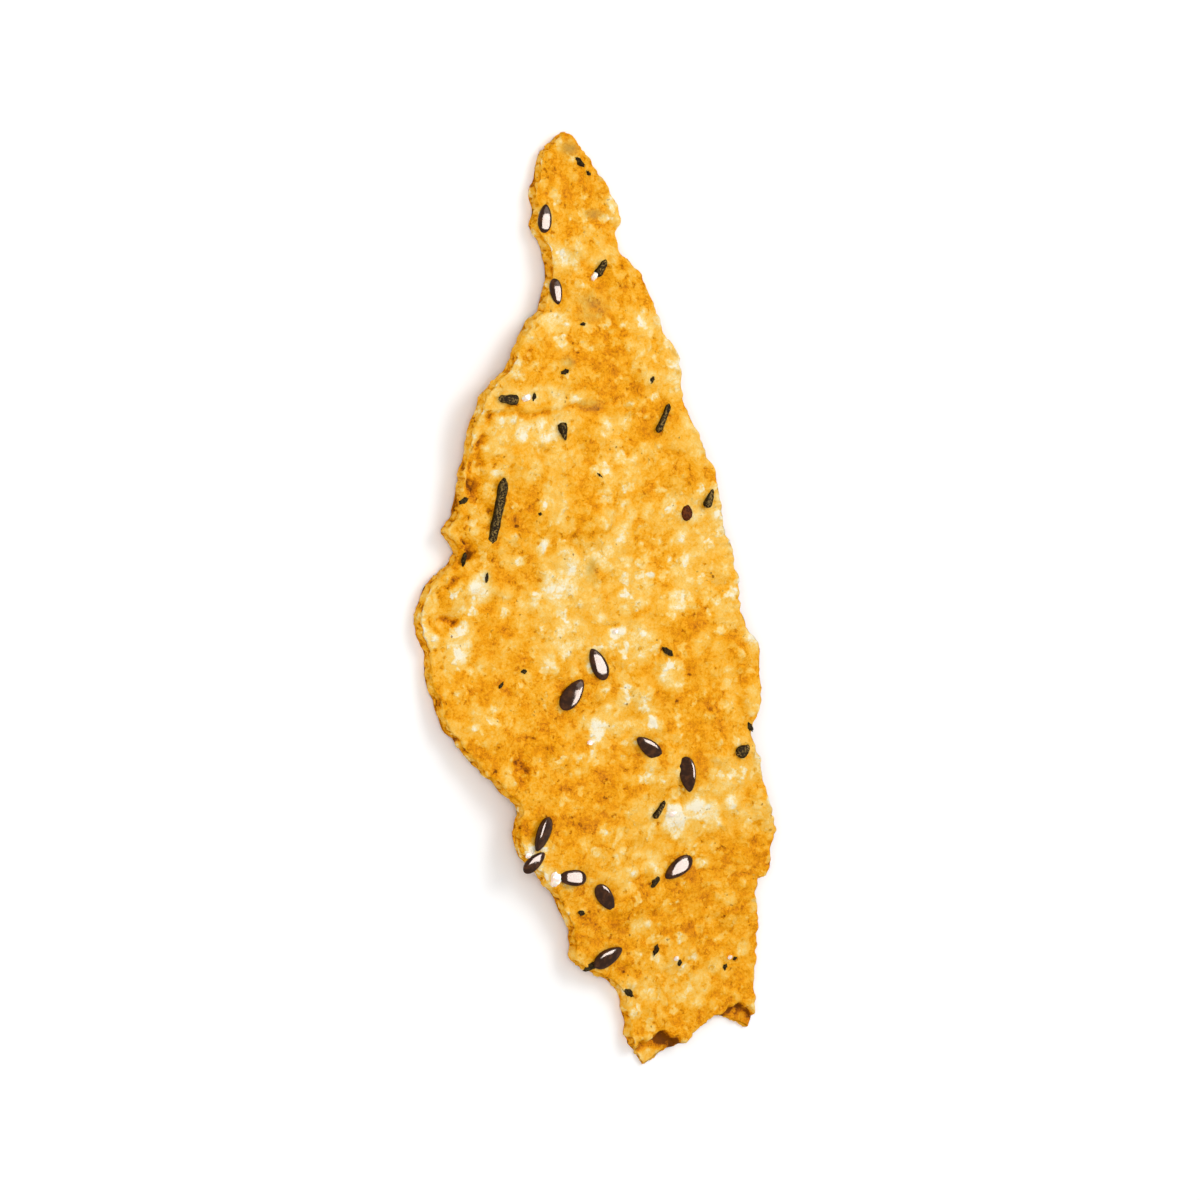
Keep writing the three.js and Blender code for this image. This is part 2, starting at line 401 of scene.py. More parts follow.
@dataclass(frozen=True)
class Lap:
    """Where the upper skin laps over itself: raised beyond a line, and dying away."""

    start: tuple[float, float] = (-22.4, 96.9)
    end: tuple[float, float] = (0.2, 99.4)
    height: float = 0.5
    reach: float = 9.0
    fade_in: tuple[float, float] = (-0.05, 0.08)
    fade_out: tuple[float, float] = (1.1, 0.8)
    face: tuple[float, float] = (-0.2, 0.25)

    def beyond(self, points: Array, outline: Outline) -> tuple[Array, Array]:
        """Measures each place against the line.

        Args:
            points: Places in millimetres.
            outline: The outline whose coordinates the line is in.

        Returns:
            How far beyond the line each place is, and from 0 to 1 how well inside its ends.
        """
        start, end = outline.placed([self.start, self.end])
        share = (points[..., 0] - start[0]) / (end[0] - start[0])
        line = start[1] + share * (end[1] - start[1])
        inside = step(*self.fade_in, share) * step(*self.fade_out, share)
        return points[..., 1] - line, inside

    def raised(self, points: Array, outline: Outline, shift: Array | float = 0.0) -> Array:
        """How high the lap stands at each place.

        Args:
            points: Places in millimetres.
            outline: The outline whose coordinates the line is in.
            shift: How far the line is moved at each place, in millimetres.

        Returns:
            The height over the face below it, in millimetres.
        """
        above, inside = self.beyond(points, outline)
        above = above + shift
        return self.height * inside * step(*self.face, above) * np.exp(-np.maximum(above, 0) / self.reach)


@dataclass(frozen=True)
class Relief:
    """The heights of the sheet's two faces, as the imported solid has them, in millimetres."""

    outline: Outline
    sheet: float = 2.4
    lift: float = 3.2
    rest_reach: float = 23.0
    rest_sink: float = 0.14
    lower_skin: float = 0.8
    rest_spots: tuple[tuple[float, float], ...] = ((11, 4), (24.5, 10), (-23.5, 65), (-6, 132))
    pockets: tuple[tuple[float, float, float, float], ...] = ((11.2, 0, 4.6, 4.2), (24.4, 4.6, 4.4, 3.8))
    upside: tuple[float, float] = (-0.1, 0.5)
    waves: tuple[Wave, ...] = (Wave(0.4, 33, 47, 1.1), Wave(0.28, -60, 23, 4))
    blisters: Domes = Domes(7.5, (2.4, 4.6), (0.15, 0.95))
    bubbles: Domes = Domes(3.4, (1.3, 2.1), (0.05, 0.4))
    lap: Lap = Lap()
    pits: tuple[Patch, ...] = patches(
        (-24.5, 66.1, 2.2, 1.4, 0.6), (-21, 88.4, 1.6, 3.4, 0.5), (-13.6, 45, 1.3, 2.8, 0.5),
        (-23.6, 76, 1.3, 1.8, 0.5),
    )

    def arch(self, points: Array) -> Array:
        """Tells the spots that touch the table from the rest of the sheet.

        Args:
            points: Places on the sheet, in millimetres.

        Returns:
            For each place, 0 at a spot that touches the table and 1 well away from them all.
        """
        share = np.ones(points.shape[:-1])
        for spot in self.outline.placed(self.rest_spots):
            away = np.linalg.norm(points - spot, axis=-1) / self.rest_reach
            share = share * (1 - np.exp(-(away**2)))
        return share

    def _from_pockets(self, points: Array) -> list[tuple[Array, Array]]:
        """Measures each place from each of the broken bubbles.

        Args:
            points: Places on the sheet, in millimetres.

        Returns:
            For each bubble, how far each place is from its middle, 1 at its edge, and how far up.
        """
        measures = []
        for x, y, half_width, half_height in self.pockets:
            away = (points - self.outline.placed((x, y))) / (half_width, half_height)
            measures.append((np.linalg.norm(away, axis=-1), away[..., 1]))
        return measures

    def pocket_edge(self, points: Array) -> Array:
        """How far each place is from the nearest broken bubble's middle, 1 at its edge."""
        return np.min([away for away, _ in self._from_pockets(points)], axis=0)

    def pocket_upside(self, points: Array) -> Array:
        """From 0 beside and below a broken bubble's middle to 1 at its upper end."""
        measures = self._from_pockets(points)
        return np.max([step(*self.upside, up) * (away < 2) for away, up in measures], axis=0)

    def bed(self, points: Array) -> Array:
        """The height that the dough is laid from: the arch and the slow waves."""
        share = self.arch(points)
        return self.lift * share - self.rest_sink + share * sum(wave.at(points) for wave in self.waves)

    def underside(self, points: Array) -> Array:
        """The height of the lower face at each place."""
        height = self.bed(points) - 0.5 * self.arch(points) * self.blisters.at(points, 7)[0]
        return np.maximum(0, height)

    def pit(self, points: Array, ragged: Array | float = 0.0) -> Array:
        """How deep the pits are at each place; ragged is noise that frays their edges."""
        return strongest(self.pits, points, self.outline, ragged)

    def upper_face(self, points: Array) -> Array:
        """The height of the upper face at each place, without its lap, pits and broken bubbles."""
        domes = self.blisters.at(points, 3)[0] + self.bubbles.at(points, 13)[0]
        return self.bed(points) + self.sheet + domes

    def surface(self, points: Array) -> Array:
        """The height that toppings lie at: the upper face with its lap and pits."""
        return self.upper_face(points) + self.lap.raised(points, self.outline) - self.pit(points)


# Finishes


class Tint(Enum):
    """What colours a piece from place to place, each a number on every vertex."""

    # The dough's toasting tone, with painted shade added in its hollows, cracks and rim crevices.
    BAKE_AND_SHADE = "bake"
    HERB = "herb"
    GROOVE = "groove"


FRAY_FINENESS = 2.2
FRAY_REACH = 1.1


class Recipe:
    """A material in the making: adds shader nodes and joins them."""

    def __init__(self, name: str) -> None:
        """Starts a material with a bare shader.

        Args:
            name: The material's name.
        """
        self.material = bpy.data.materials.new(name)
        self.material.use_nodes = True
        self.tree = self.material.node_tree
        self.shader = self.tree.nodes["Principled BSDF"]

    def add(self, kind: str, **inputs: object) -> bpy.types.Node:
        """Adds a node.

        Args:
            kind: The node's type without its ShaderNode prefix.
            **inputs: Values or output sockets for its inputs, by name with _ for each space.

        Returns:
            The new node.
        """
        node = self.tree.nodes.new("ShaderNode" + kind)
        for name, value in inputs.items():
            self.put(node.inputs[name.replace("_", " ")], value)
        return node

    def put(self, socket: bpy.types.NodeSocket, value: object) -> None:
        """Gives a socket its value, or joins another socket to it.

        Args:
            socket: A node's input.
            value: The value, or the other node's output.
        """
        if isinstance(value, bpy.types.NodeSocket):
            self.tree.links.new(value, socket)
        else:
            socket.default_value = value

    def shade(self, **inputs: object) -> None:
        """Sets the shader's own inputs, by name with _ for each space."""
        for name, value in inputs.items():
            self.put(self.shader.inputs[name.replace("_", " ")], value)

    def reading(self, tint: Tint) -> bpy.types.NodeSocket:
        """Reads the number that the mesh carries for a tint.

        Args:
            tint: Which tint to read.

        Returns:
            The socket with the number.
        """
        node = self.add("Attribute")
        node.attribute_name = tint.value
        return node.outputs["Fac"]

    def place(self) -> bpy.types.NodeSocket:
        """The point on the object, in metres."""
        return self.add("TexCoord").outputs["Object"]

    def noise(self, width: float, layers: float = 2, roughness: float = 0.5) -> bpy.types.NodeSocket:
        """Smooth noise from 0 to 1.

        Args:
            width: The width of its blots, in millimetres.
            layers: How many finer layers it has.
            roughness: How strong those are.

        Returns:
            The socket with the noise.
        """
        scale = 1 / (width * MM)
        node = self.add("TexNoise", Vector=self.place(), Scale=scale, Detail=layers, Roughness=roughness)
        return node.outputs["Fac"]

    def spread(self, value: object, low: float, high: float, top: float = 1.0) -> bpy.types.NodeSocket:
        """Stretches a value smoothly over a range.

        Args:
            value: The value, or the socket with it.
            low: What becomes 0.
            high: What becomes top.
            top: The highest number that comes out.

        Returns:
            The socket with the stretched value.
        """
        node = self.add("MapRange", Value=value, From_Min=low, From_Max=high, To_Max=top)
        node.interpolation_type = "SMOOTHSTEP"
        return node.outputs["Result"]

    def math(self, operation: str, *values: object) -> bpy.types.NodeSocket:
        """Works out one sum of two or three values.

        Args:
            operation: The sum's name in Blender.
            *values: The values, or the sockets with them.

        Returns:
            The socket with the answer.
        """
        node = self.add("Math")
        node.operation = operation
        for socket, value in zip(node.inputs, values):
            self.put(socket, value)
        return node.outputs[0]

    def spots(self, pitch: float, reach: float) -> tuple[bpy.types.NodeSocket, bpy.types.NodeSocket]:
        """Scatters round spots with frayed edges.

        Args:
            pitch: The distance from one spot to the next, in millimetres.
            reach: The spots' radius, as a share of the pitch.

        Returns:
            The socket that is 1 in the spots and 0 between, and the one with a chance for each spot.
        """
        fray = self.add("TexNoise", Vector=self.place(), Scale=FRAY_FINENESS / (pitch * MM), Detail=3)
        shift = self.add("VectorMath")
        shift.operation = "MULTIPLY_ADD"
        self.put(shift.inputs[0], fray.outputs["Color"])
        shift.inputs[1].default_value = [FRAY_REACH * pitch * MM] * 3
        self.put(shift.inputs[2], self.place())
        node = self.add("TexVoronoi", Vector=shift.outputs[0], Scale=1 / (pitch * MM))
        return self.spread(node.outputs["Distance"], reach, 0.5 * reach), node.outputs["Color"]

    def ramp(self, value: object, stops: Sequence[tuple[float, Color]]) -> bpy.types.NodeSocket:
        """Turns a value into a colour.

        Args:
            value: From 0 to 1.
            stops: Values from low to high, each with its colour.

        Returns:
            The socket with the colour.
        """
        node = self.add("ValToRGB", Fac=value)
        elements = node.color_ramp.elements
        while len(elements) < len(stops):
            elements.new(1.0)
        for element, (place, color) in zip(elements, stops):
            element.position = place
            element.color = (*color, 1.0)
        return node.outputs["Color"]

    def blend(self, factor: object, first: object, second: object) -> bpy.types.NodeSocket:
        """Mixes two colours.

        Args:
            factor: From 0 for the first colour to 1 for the second.
            first: A colour or a socket with one.
            second: A colour or a socket with one.

        Returns:
            The socket with the mixed colour.
        """
        node = self.add("Mix")
        node.data_type = "RGBA"
        self.put(node.inputs[0], factor)
        for socket, value in ((node.inputs[6], first), (node.inputs[7], second)):
            self.put(socket, (*value, 1.0) if isinstance(value, tuple) else value)
        return node.outputs[2]

    def bump(self, height: object, depth: float, under: object = None) -> bpy.types.NodeSocket:
        """Roughens the surface.

        Args:
            height: From 0 to 1.
            depth: How high 1 stands, in millimetres.
            under: The normal that it is added to, if any.

        Returns:
            The socket with the new normal.
        """
        node = self.add("Bump", Height=height, Distance=depth * MM, Strength=1.0)
        if under is not None:
            self.put(node.inputs["Normal"], under)
        return node.outputs["Normal"]


@dataclass(frozen=True)
class Spotting:
    """Round spots of one kind in the dough's colour, from faint to full as chance has it."""

    pitch: float
    reach: float
    faint: float
    full: float
    strength: float

    def scattered(self, recipe: Recipe) -> bpy.types.NodeSocket:
        """The socket with the spots."""
        spots, fate = recipe.spots(self.pitch, self.reach)
        return recipe.math("MULTIPLY", spots, recipe.spread(fate, self.faint, self.full, self.strength))


@dataclass(frozen=True)
class BakedDough:
    """Golden dough with an oily sheen, from toasted brown to the cream of its thin bubbles; the tone it reads
    also carries painted shade.
    """

    tones: tuple[tuple[float, Color], ...] = (
        (0.0, (0.20, 0.055, 0.002)),
        (0.13, (0.53, 0.155, 0.001)),
        (0.26, (0.73, 0.255, 0.001)),
        (0.35, (0.84, 0.338, 0.003)),
        (0.45, (0.87, 0.412, 0.026)),
        (0.57, (0.885, 0.480, 0.066)),
        (0.69, (0.89, 0.555, 0.122)),
        (0.81, (0.90, 0.65, 0.25)),
        (0.92, (0.90, 0.74, 0.42)),
        (1.0, (0.91, 0.82, 0.61)),
    )
    freckle: Color = (0.20, 0.050, 0.004)
    herb: Color = (0.36, 0.27, 0.075)
    sheen: float = 0.014
    dullest: float = 0.48
    dull_blots: Blots = (3, 2, 0.5)
    dull_range: Range = (0.3, 0.7, 0.2)
    crumb: Blots = (0.45, 2, 0.8)
    crumb_share: float = 0.76
    mottle: Blots = (2.1, 3, 0.6)
    beads: Spotting = Spotting(2.7, 0.44, 0.25, 0.8, 0.5)
    dots: Spotting = Spotting(1.2, 0.4, 0.4, 0.8, 0.22)
    specks: Spotting = Spotting(1.3, 0.34, 0.45, 0.85, 0.3)
    vein_paths: Blots = (1.7, 2, 0.5)
    vein_width: float = 0.035
    vein_gaps: float = 3.5
    vein_share: float = -0.26
    contrast: float = 0.7
    darkening: float = -0.435
    freckles: Blots = (0.8, 1, 0.5)
    freckle_range: Range = (0.69, 0.8, 0.8)
    freckled: Blots = (5, 1, 0.5)
    freckled_range: Range = (0.45, 0.62)
    fine_blots: float = 0.25
    fine_height: float = 0.07
    dot_height: float = 0.3
    crumb_height: float = 0.2

    def material(self) -> bpy.types.Material:
        """Mixes the dough's material.

        Returns:
            The material, which reads the tints that the mesh carries.
        """
        recipe = Recipe("baked_dough")
        crumb = recipe.noise(*self.crumb)
        bake = recipe.math("ADD", recipe.reading(Tint.BAKE_AND_SHADE), recipe.noise(*self.mottle))
        bake = recipe.math("MULTIPLY_ADD", crumb, self.crumb_share, bake)
        beads, dots, specks = (kind.scattered(recipe) for kind in (self.beads, self.dots, self.specks))
        for operation, spots in (("ADD", beads), ("ADD", dots), ("SUBTRACT", specks)):
            bake = recipe.math(operation, bake, spots)
        away = recipe.math("ABSOLUTE", recipe.math("SUBTRACT", recipe.noise(*self.vein_paths), 0.5))
        near = recipe.spread(away, self.vein_width, 0.0)
        veins = recipe.math("MULTIPLY", near, recipe.noise(self.vein_gaps))
        bake = recipe.math("MULTIPLY_ADD", veins, self.vein_share, bake)
        bake = recipe.math("MULTIPLY_ADD", bake, self.contrast, self.darkening)
        color = recipe.blend(recipe.reading(Tint.HERB), recipe.ramp(bake, self.tones), self.herb)
        freckles = recipe.spread(recipe.noise(*self.freckles), *self.freckle_range)
        where = recipe.spread(recipe.noise(*self.freckled), *self.freckled_range)
        color = recipe.blend(recipe.math("MULTIPLY", freckles, where), color, self.freckle)
        fine = recipe.bump(recipe.noise(self.fine_blots), self.fine_height)
        raised = recipe.bump(recipe.math("SUBTRACT", dots, specks), self.dot_height, fine)
        dull = recipe.spread(recipe.noise(*self.dull_blots), *self.dull_range)
        recipe.shade(
            Base_Color=color,
            Roughness=recipe.math("ADD", dull, self.dullest),
            Normal=recipe.bump(crumb, self.crumb_height, raised),
            Specular_IOR_Level=self.sheen,
        )
        return recipe.material


@dataclass(frozen=True)
class SeedHusk:
    """The smooth dark husk of a flax seed."""

    husk: Color = (0.028, 0.009, 0.003)
    warm: Color = (0.085, 0.030, 0.009)
    gleam: Color = (1.0, 0.84, 0.76)
    streaks: Blots = (0.9, 3, 0.6)
    streak_range: Range = (0.42, 0.72)
    roughness: float = 0.1
    sheen: float = 0.28
    dimples: float = 0.3
    dimple_height: float = 0.004

    def material(self) -> bpy.types.Material:
        """Mixes the husk's material.

        Returns:
            The material.
        """
        recipe = Recipe("flax_husk")
        streaks = recipe.spread(recipe.noise(*self.streaks), *self.streak_range)
        color = recipe.blend(streaks, self.husk, self.warm)
        recipe.shade(
            Base_Color=color,
            Roughness=self.roughness,
            Specular_IOR_Level=self.sheen,
            Specular_Tint=(*self.gleam, 1.0),
            Normal=recipe.bump(recipe.noise(self.dimples), self.dimple_height),
        )
        return recipe.material


@dataclass(frozen=True)
class DriedHerb:
    """Rosemary dried in the oven, or a crumb as dark, with paler dust where it has a groove."""

    name: str = "dried_rosemary"
    dark: Color = (0.018, 0.009, 0.002)
    lighter: Color = (0.065, 0.045, 0.010)
    dust: Color = (0.36, 0.22, 0.06)
    speckle: Blots = (0.3, 2, 0.6)
    lighter_range: Range = (0.42, 0.68)
    dust_range: Range = (0.51, 0.58)
    roughness: float = 0.65
    sheen: float = 0.02
    wrinkles: float = 0.06

    def material(self) -> bpy.types.Material:
        """Mixes the herb's material.

        Returns:
            The material.
        """
        recipe = Recipe(self.name)
        speckle = recipe.noise(*self.speckle)
        color = recipe.blend(recipe.spread(speckle, *self.lighter_range), self.dark, self.lighter)
        groove = recipe.reading(Tint.GROOVE)
        dusted = recipe.math("MULTIPLY", groove, recipe.spread(speckle, *self.dust_range))
        color = recipe.blend(dusted, color, self.dust)
        recipe.shade(
            Base_Color=color,
            Roughness=self.roughness,
            Specular_IOR_Level=self.sheen,
            Normal=recipe.bump(speckle, self.wrinkles),
        )
        return recipe.material


@dataclass(frozen=True)
class SaltGrain:
    """Milky salt."""

    white: Color = (0.90, 0.82, 0.72)
    rosy: Color = (0.90, 0.70, 0.54)
    blots: float = 0.4
    rosy_range: Range = (0.3, 0.7)
    roughness: float = 0.3
    milkiness: float = 0.3
    light_depth: float = 0.4

    def material(self) -> bpy.types.Material:
        """Mixes the salt's material.

        Returns:
            The material.
        """
        recipe = Recipe("salt")
        blots = recipe.spread(recipe.noise(self.blots), *self.rosy_range)
        color = recipe.blend(blots, self.white, self.rosy)
        recipe.shade(
            Base_Color=color,
            Roughness=self.roughness,
            Subsurface_Weight=self.milkiness,
            Subsurface_Scale=self.light_depth * MM,
        )
        return recipe.material


@dataclass(frozen=True)
class WhiteFloor:
    """The studio's plain white table."""

    white: Color = (0.97, 0.97, 0.97)
    roughness: float = 0.9
    sheen: float = 0.1

    def material(self) -> bpy.types.Material:
        """Mixes the floor's material.

        Returns:
            The material.
        """
        recipe = Recipe("studio_floor")
        recipe.shade(Base_Color=(*self.white, 1.0), Roughness=self.roughness, Specular_IOR_Level=self.sheen)
        return recipe.material


# Meshes


@dataclass
class Shell:
    """Points, faces and the numbers on the points of a mesh in the making, in millimetres."""

    points: list[Array] = field(default_factory=list)
    faces: list[tuple[int, ...]] = field(default_factory=list)
    readings: dict[str, list[Array]] = field(default_factory=dict)
    count: int = 0

    def add(self, points: Array, faces: Sequence[Sequence[int]] | Array, **readings: Array) -> Array:
        """Adds a stretch of mesh.

        Args:
            points: Its points, with x, y and z in the last axis.
            faces: Its faces, which count the points from 0.
            **readings: Numbers on its points, by name.

        Returns:
            The numbers of its points in the whole mesh, in the shape that the points came in.
        """
        flat = points.reshape(-1, 3)
        self.points.append(flat)
        self.faces.extend(tuple(int(k) + self.count for k in face) for face in faces)
        for name, values in readings.items():
            self.readings.setdefault(name, []).append(np.broadcast_to(values, points.shape[:-1]).reshape(-1))
        numbers = np.arange(self.count, self.count + len(flat)).reshape(points.shape[:-1])
        self.count += len(flat)
        return numbers

    def piece(self, name: str, material: bpy.types.Material, smooth: bool = True) -> bpy.types.Object:
        """Makes a piece of the object from the mesh.

        Args:
            name: The piece's name.
            material: Its material.
            smooth: Whether light runs smoothly over its edges.

        Returns:
            The piece, riding on the part's one body.
        """
        mesh = bpy.data.meshes.new(name)
        mesh.from_pydata((np.vstack(self.points) * MM).tolist(), [], self.faces)
        for reading, values in self.readings.items():
            mesh.attributes.new(reading, "FLOAT", "POINT").data.foreach_set("value", np.concatenate(values))
        mesh.polygons.foreach_set("use_smooth", [smooth] * len(mesh.polygons))
        mesh.materials.append(material)
        mesh.update()
        piece = bpy.data.objects.new(name, mesh)
        bpy.context.scene.collection.objects.link(piece)
        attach(piece, "root")
        log.info("%s: %d points, %d faces", name, len(mesh.vertices), len(mesh.polygons))
        return piece


def quads(rows: Array, up: bool = True) -> list[tuple[int, int, int, int]]:
    """Joins rows of points with four-sided faces.

    Args:
        rows: The points' numbers, row by row.
        up: Whether the faces turn towards the reader.

    Returns:
        The faces.
    """
    ring = np.stack([rows[:-1, :-1], rows[:-1, 1:], rows[1:, 1:], rows[1:, :-1]], axis=-1).reshape(-1, 4)
    return (ring if up else ring[:, ::-1]).tolist()


# The dough

BATCH = 4000  # places measured against the rim at a time


@dataclass(frozen=True)
class Crease:
    """A fold or crack along a line, in outline millimetres; height is below 0 for a crack."""

    line: tuple[tuple[float, float], ...]
    half_width: float
    height: float

    def near(self, points: Array, outline: Outline) -> Array:
        """Tells the places along the line from the rest of the sheet.

        Args:
            points: Places on the sheet, in millimetres.
            outline: The outline that the line is given in.

        Returns:
            For each place, 1 on the line and 0 away from it.
        """
        corners = outline.placed(self.line)
        nearest = np.full(points.shape[:-1], np.inf)
        for start, end in zip(corners[:-1], corners[1:]):
            along = end - start
            share = np.clip(((points - start) @ along) / (along @ along), 0, 1)
            away = np.linalg.norm(points - start - share[..., None] * along, axis=-1)
            nearest = np.minimum(nearest, away)
        return np.exp(-((nearest / self.half_width) ** 2))


@dataclass(frozen=True)
class Tones:
    """How much each thing lightens the dough's tone, or darkens it where it is below 0. Pit, groove, the lap
    and lip shadows, pocket and crack are painted shade in the dough's hollows.
    """

    pearl: float = 0.3
    bubble: float = 0.3
    blister: float = 0.2
    cream: float = 0.62
    toast: float = -0.42
    lip: float = 0.3
    rim: float = 0.06
    swell: float = -0.1
    # Painted shade: darker colour in the pits, the groove, below the lap's step, under the broken bubbles'
    # lips, on their floors and along the cracks.
    pit: float = -0.6
    groove: float = -0.4
    painted_lap_shadow: float = -0.4
    painted_lip_shadow: float = -0.8
    pocket: float = -0.12
    crack: float = -0.5


@dataclass(frozen=True)
class DoughSheet:
    """The baked sheet with its crumb, its pits and folds, the colours that the oven gave it, and painted
    shade in its hollows, its crevices and where it rests, with a painted highlight along its raised folds.
    """

    relief: Relief
    across: int = 140
    along: int = 500
    finish: BakedDough = BakedDough()
    tones: Tones = Tones()
    middle_tone: float = 0.62
    rim_tone: float = 0.46
    under_tone: float = 0.34
    darkest: float = 0.2
    darkest_reach: float = 0.07
    lip: float = 0.3
    lip_width: float = 0.6
    rim_drop: float = 0.12
    rim_reach: float = 0.3
    toasted_reach: float = 0.5
    crumble: float = 0.6
    groove_depth: float = 0.55
    groove_inset: float = 1.5
    groove_half_width: float = 0.7
    groove_fade: float = 6.0
    swell_height: float = 0.12
    swell_reach: float = 2.2
    swell_half_width: float = 0.8
    rim_rings: tuple[float, ...] = (0.08, 0.2, 0.32, 0.44, 0.56, 0.68, 0.8, 0.9)
    warp: tuple[Noise, Noise] = (Noise(3.1, 71, 2), Noise(3.1, 73, 2))
    jitter: tuple[Noise, Noise] = (Noise(1.0, 61, 2), Noise(1.0, 67, 2))
    patch_warp: float = 1.5
    pit_fray: float = 0.6
    torn_share: float = 0.55
    cream_calm: float = 0.6
    smoothness: float = 0.75
    crumb_sink: float = 0.16
    fold_jitter: float = 0.5
    pearl_warp: float = 0.45
    pearl_jitter: float = 0.4
    fray: Noise = Noise(2.4, 77, 3)
    tearing: Noise = Noise(0.8, 105, 2, 1.8)
    crumb: Noise = Noise(0.8, 47, 2, 0.10)
    lip_crags: Noise = Noise(1.5, 49, 2)
    pocket_rim: Noise = Noise(1.3, 53, 2, 0.22)
    pocket_floor: Noise = Noise(0.9, 59, 2, 0.12)
    broad_mottle: Noise = Noise(14, 81, 1, 0.18)
    mottles: tuple[Noise, Noise] = (Noise(6.5, 83, 2, 0.35), Noise(3.2, 87, 2, 0.3))
    under_crumb: Noise = Noise(1.6, 147, 2, 0.1)
    under_mottle: Noise = Noise(6, 183, 3, 0.25)
    rim_lumps: Noise = Noise(1.3, 93, 3)
    rim_waver: Noise = Noise(0.8, 99, 1, 0.1)
    rim_mottle: Noise = Noise(1.2, 103, 2, 0.3)
    pearls: Domes = Domes(2.3, (0.7, 1.4), (0.06, 0.38))
    grains: Domes = Domes(1.0, (0.3, 0.62), (0.03, 0.16))
    pale_patches: tuple[Patch, ...] = patches(
        (15.6, 36.6, 4.4, 3.6, 0.75, 0.25), (12.3, 37, 1.9, 2.6, 1.25, 0.2),
        (14.8, 33.4, 2.2, 2.4, 0.5, 0.3), (17.3, 11.2, 2.9, 2.7, 0.85, 0.3),
        (13.9, 94.2, 3.2, 3.8, 0.75, 0.35), (11.8, 58.9, 2.6, 2, 0.95, 0.2),
        (-1.5, 48.7, 1.3, 2.5, 0.9, 0.3), (-5.7, 50, 1.8, 1.4, 0.55, 0.4), (-19.1, 71.9, 2, 3.2, 0.8, 0.3),
        (-18.9, 75, 0.8, 0.8, 0.9, 0.3), (12.8, 69.6, 2.1, 2, 0.95, 0.25), (6.8, 71, 1.5, 1.5, 0.6, 0.4),
        (-7.4, 71, 3.4, 1.6, 0.5, 0.5), (-23.6, 62, 3.2, 1.7, 0.4, 0.4), (-8.7, 60.3, 0.9, 1.5, 0.7, 0.3),
        (2.6, 55.3, 1, 1.6, 0.6, 0.3), (8.4, 52.2, 0.9, 1.7, 0.6, 0.35), (2.4, 64.9, 1.3, 1, 0.85, 0.25),
        (-7, 39, 2.2, 1.1, 0.65, 0.35), (2.2, 34, 1.1, 1.1, 0.6, 0.3), (2.4, 30.9, 1.2, 1.1, 0.5, 0.35),
        (6.7, 20.9, 2.3, 2.4, 0.5, 0.45), (-17.9, 88.6, 0.9, 0.9, 0.8, 0.3),
        (-13.3, 94.8, 1.2, 1.1, 0.8, 0.3), (2.1, 91, 1.1, 1.1, 0.8, 0.3), (-1.8, 104, 2.3, 1.2, 0.55, 0.4),
        (-13.9, 107.2, 3.4, 6, 0.5, 0.5), (-7.9, 111.8, 2.2, 1.6, 0.8, 0.3),
        (3.9, 122.1, 2, 3.4, 0.45, 0.5), (-10.5, 100.4, 8.6, 1.3, 0.6, 0.35),
        (-7.6, 28.6, 2.6, 1.8, 0.55, 0.4), (-11.6, 33, 1.2, 2.6, 0.4, 0.5),
    )
    toasted_patches: tuple[Patch, ...] = patches(
        (2.1, 102, 4.6, 2.4, 0.9), (5.6, 116.6, 3, 4, 0.6), (15.4, 66.4, 3.8, 2.8, 0.9),
        (24, 60.1, 2.2, 5, 0.8), (22, 29.2, 3.4, 3, 0.9), (13.9, 27, 4, 1.8, 0.55), (8.2, 87.3, 3, 3, 0.6),
        (17.3, 87.9, 1.3, 2.3, 0.9), (4.5, 131.1, 2, 3, 0.5), (-7.4, 77.7, 1, 0.8, 1.3),
        (-3.6, 124.2, 1.3, 1, 0.8), (-2.2, 82, 4.6, 4, 0.5), (3.3, 92, 0.9, 0.9, 0.8),
        (-16.8, 51.8, 1.2, 1, 0.6), (7.1, 44.7, 3, 2, 0.4), (-19.6, 78, 2.6, 2, 0.75),
        (1.8, 72.6, 2.4, 4.4, 0.6), (-7.6, 55, 2.4, 3.2, 0.5), (-11.2, 48.2, 2.4, 2.6, 0.55),
        (1.8, 49.4, 2, 2, 0.5), (0, 40.6, 2.4, 1.9, 0.5), (16.4, 43.8, 1.5, 2.6, 0.6),
        (19.4, 52.2, 1.8, 3, 0.55), (16.2, 17.8, 2.6, 2.2, 0.75), (11.6, 10, 2.8, 2.4, 0.6),
        (-3.6, 19.3, 1.2, 2.2, 0.6), (-19.6, 93.9, 1.4, 1.3, 0.9), (-19.2, 97.2, 1, 1, 0.8),
        (-26.9, 66, 0.7, 1.6, 1.2), (-4.4, 46.2, 1.6, 1.4, 0.4), (9.2, 62.6, 3, 1.6, 0.5),
        (-15, 65, 2.6, 1.6, 0.35), (21, 22, 2, 3.5, 0.35), (-4.8, 107.5, 2, 1.6, 0.4), (17, 23, 10, 9, 0.6),
        (19, 8, 8, 6, 0.75), (0, 106, 5, 8, 0.3),
    )
    herb_stains: tuple[Patch, ...] = patches(
        (-1.7, 113.6, 3, 2.5, 0.5), (-4.5, 137.4, 1.8, 1.4, 0.6), (-0.3, 127.6, 1.7, 0.8, 0.85),
        (-2.1, 99, 2, 0.9, 0.7), (-1.8, 74.1, 0.9, 2, 0.8), (-18.6, 73, 0.9, 1.3, 0.8),
        (-6, 105.3, 1.4, 1, 0.6), (-24.5, 84.5, 1.6, 0.8, 0.8), (-4.8, 121.2, 2, 1.2, 0.3),
    )
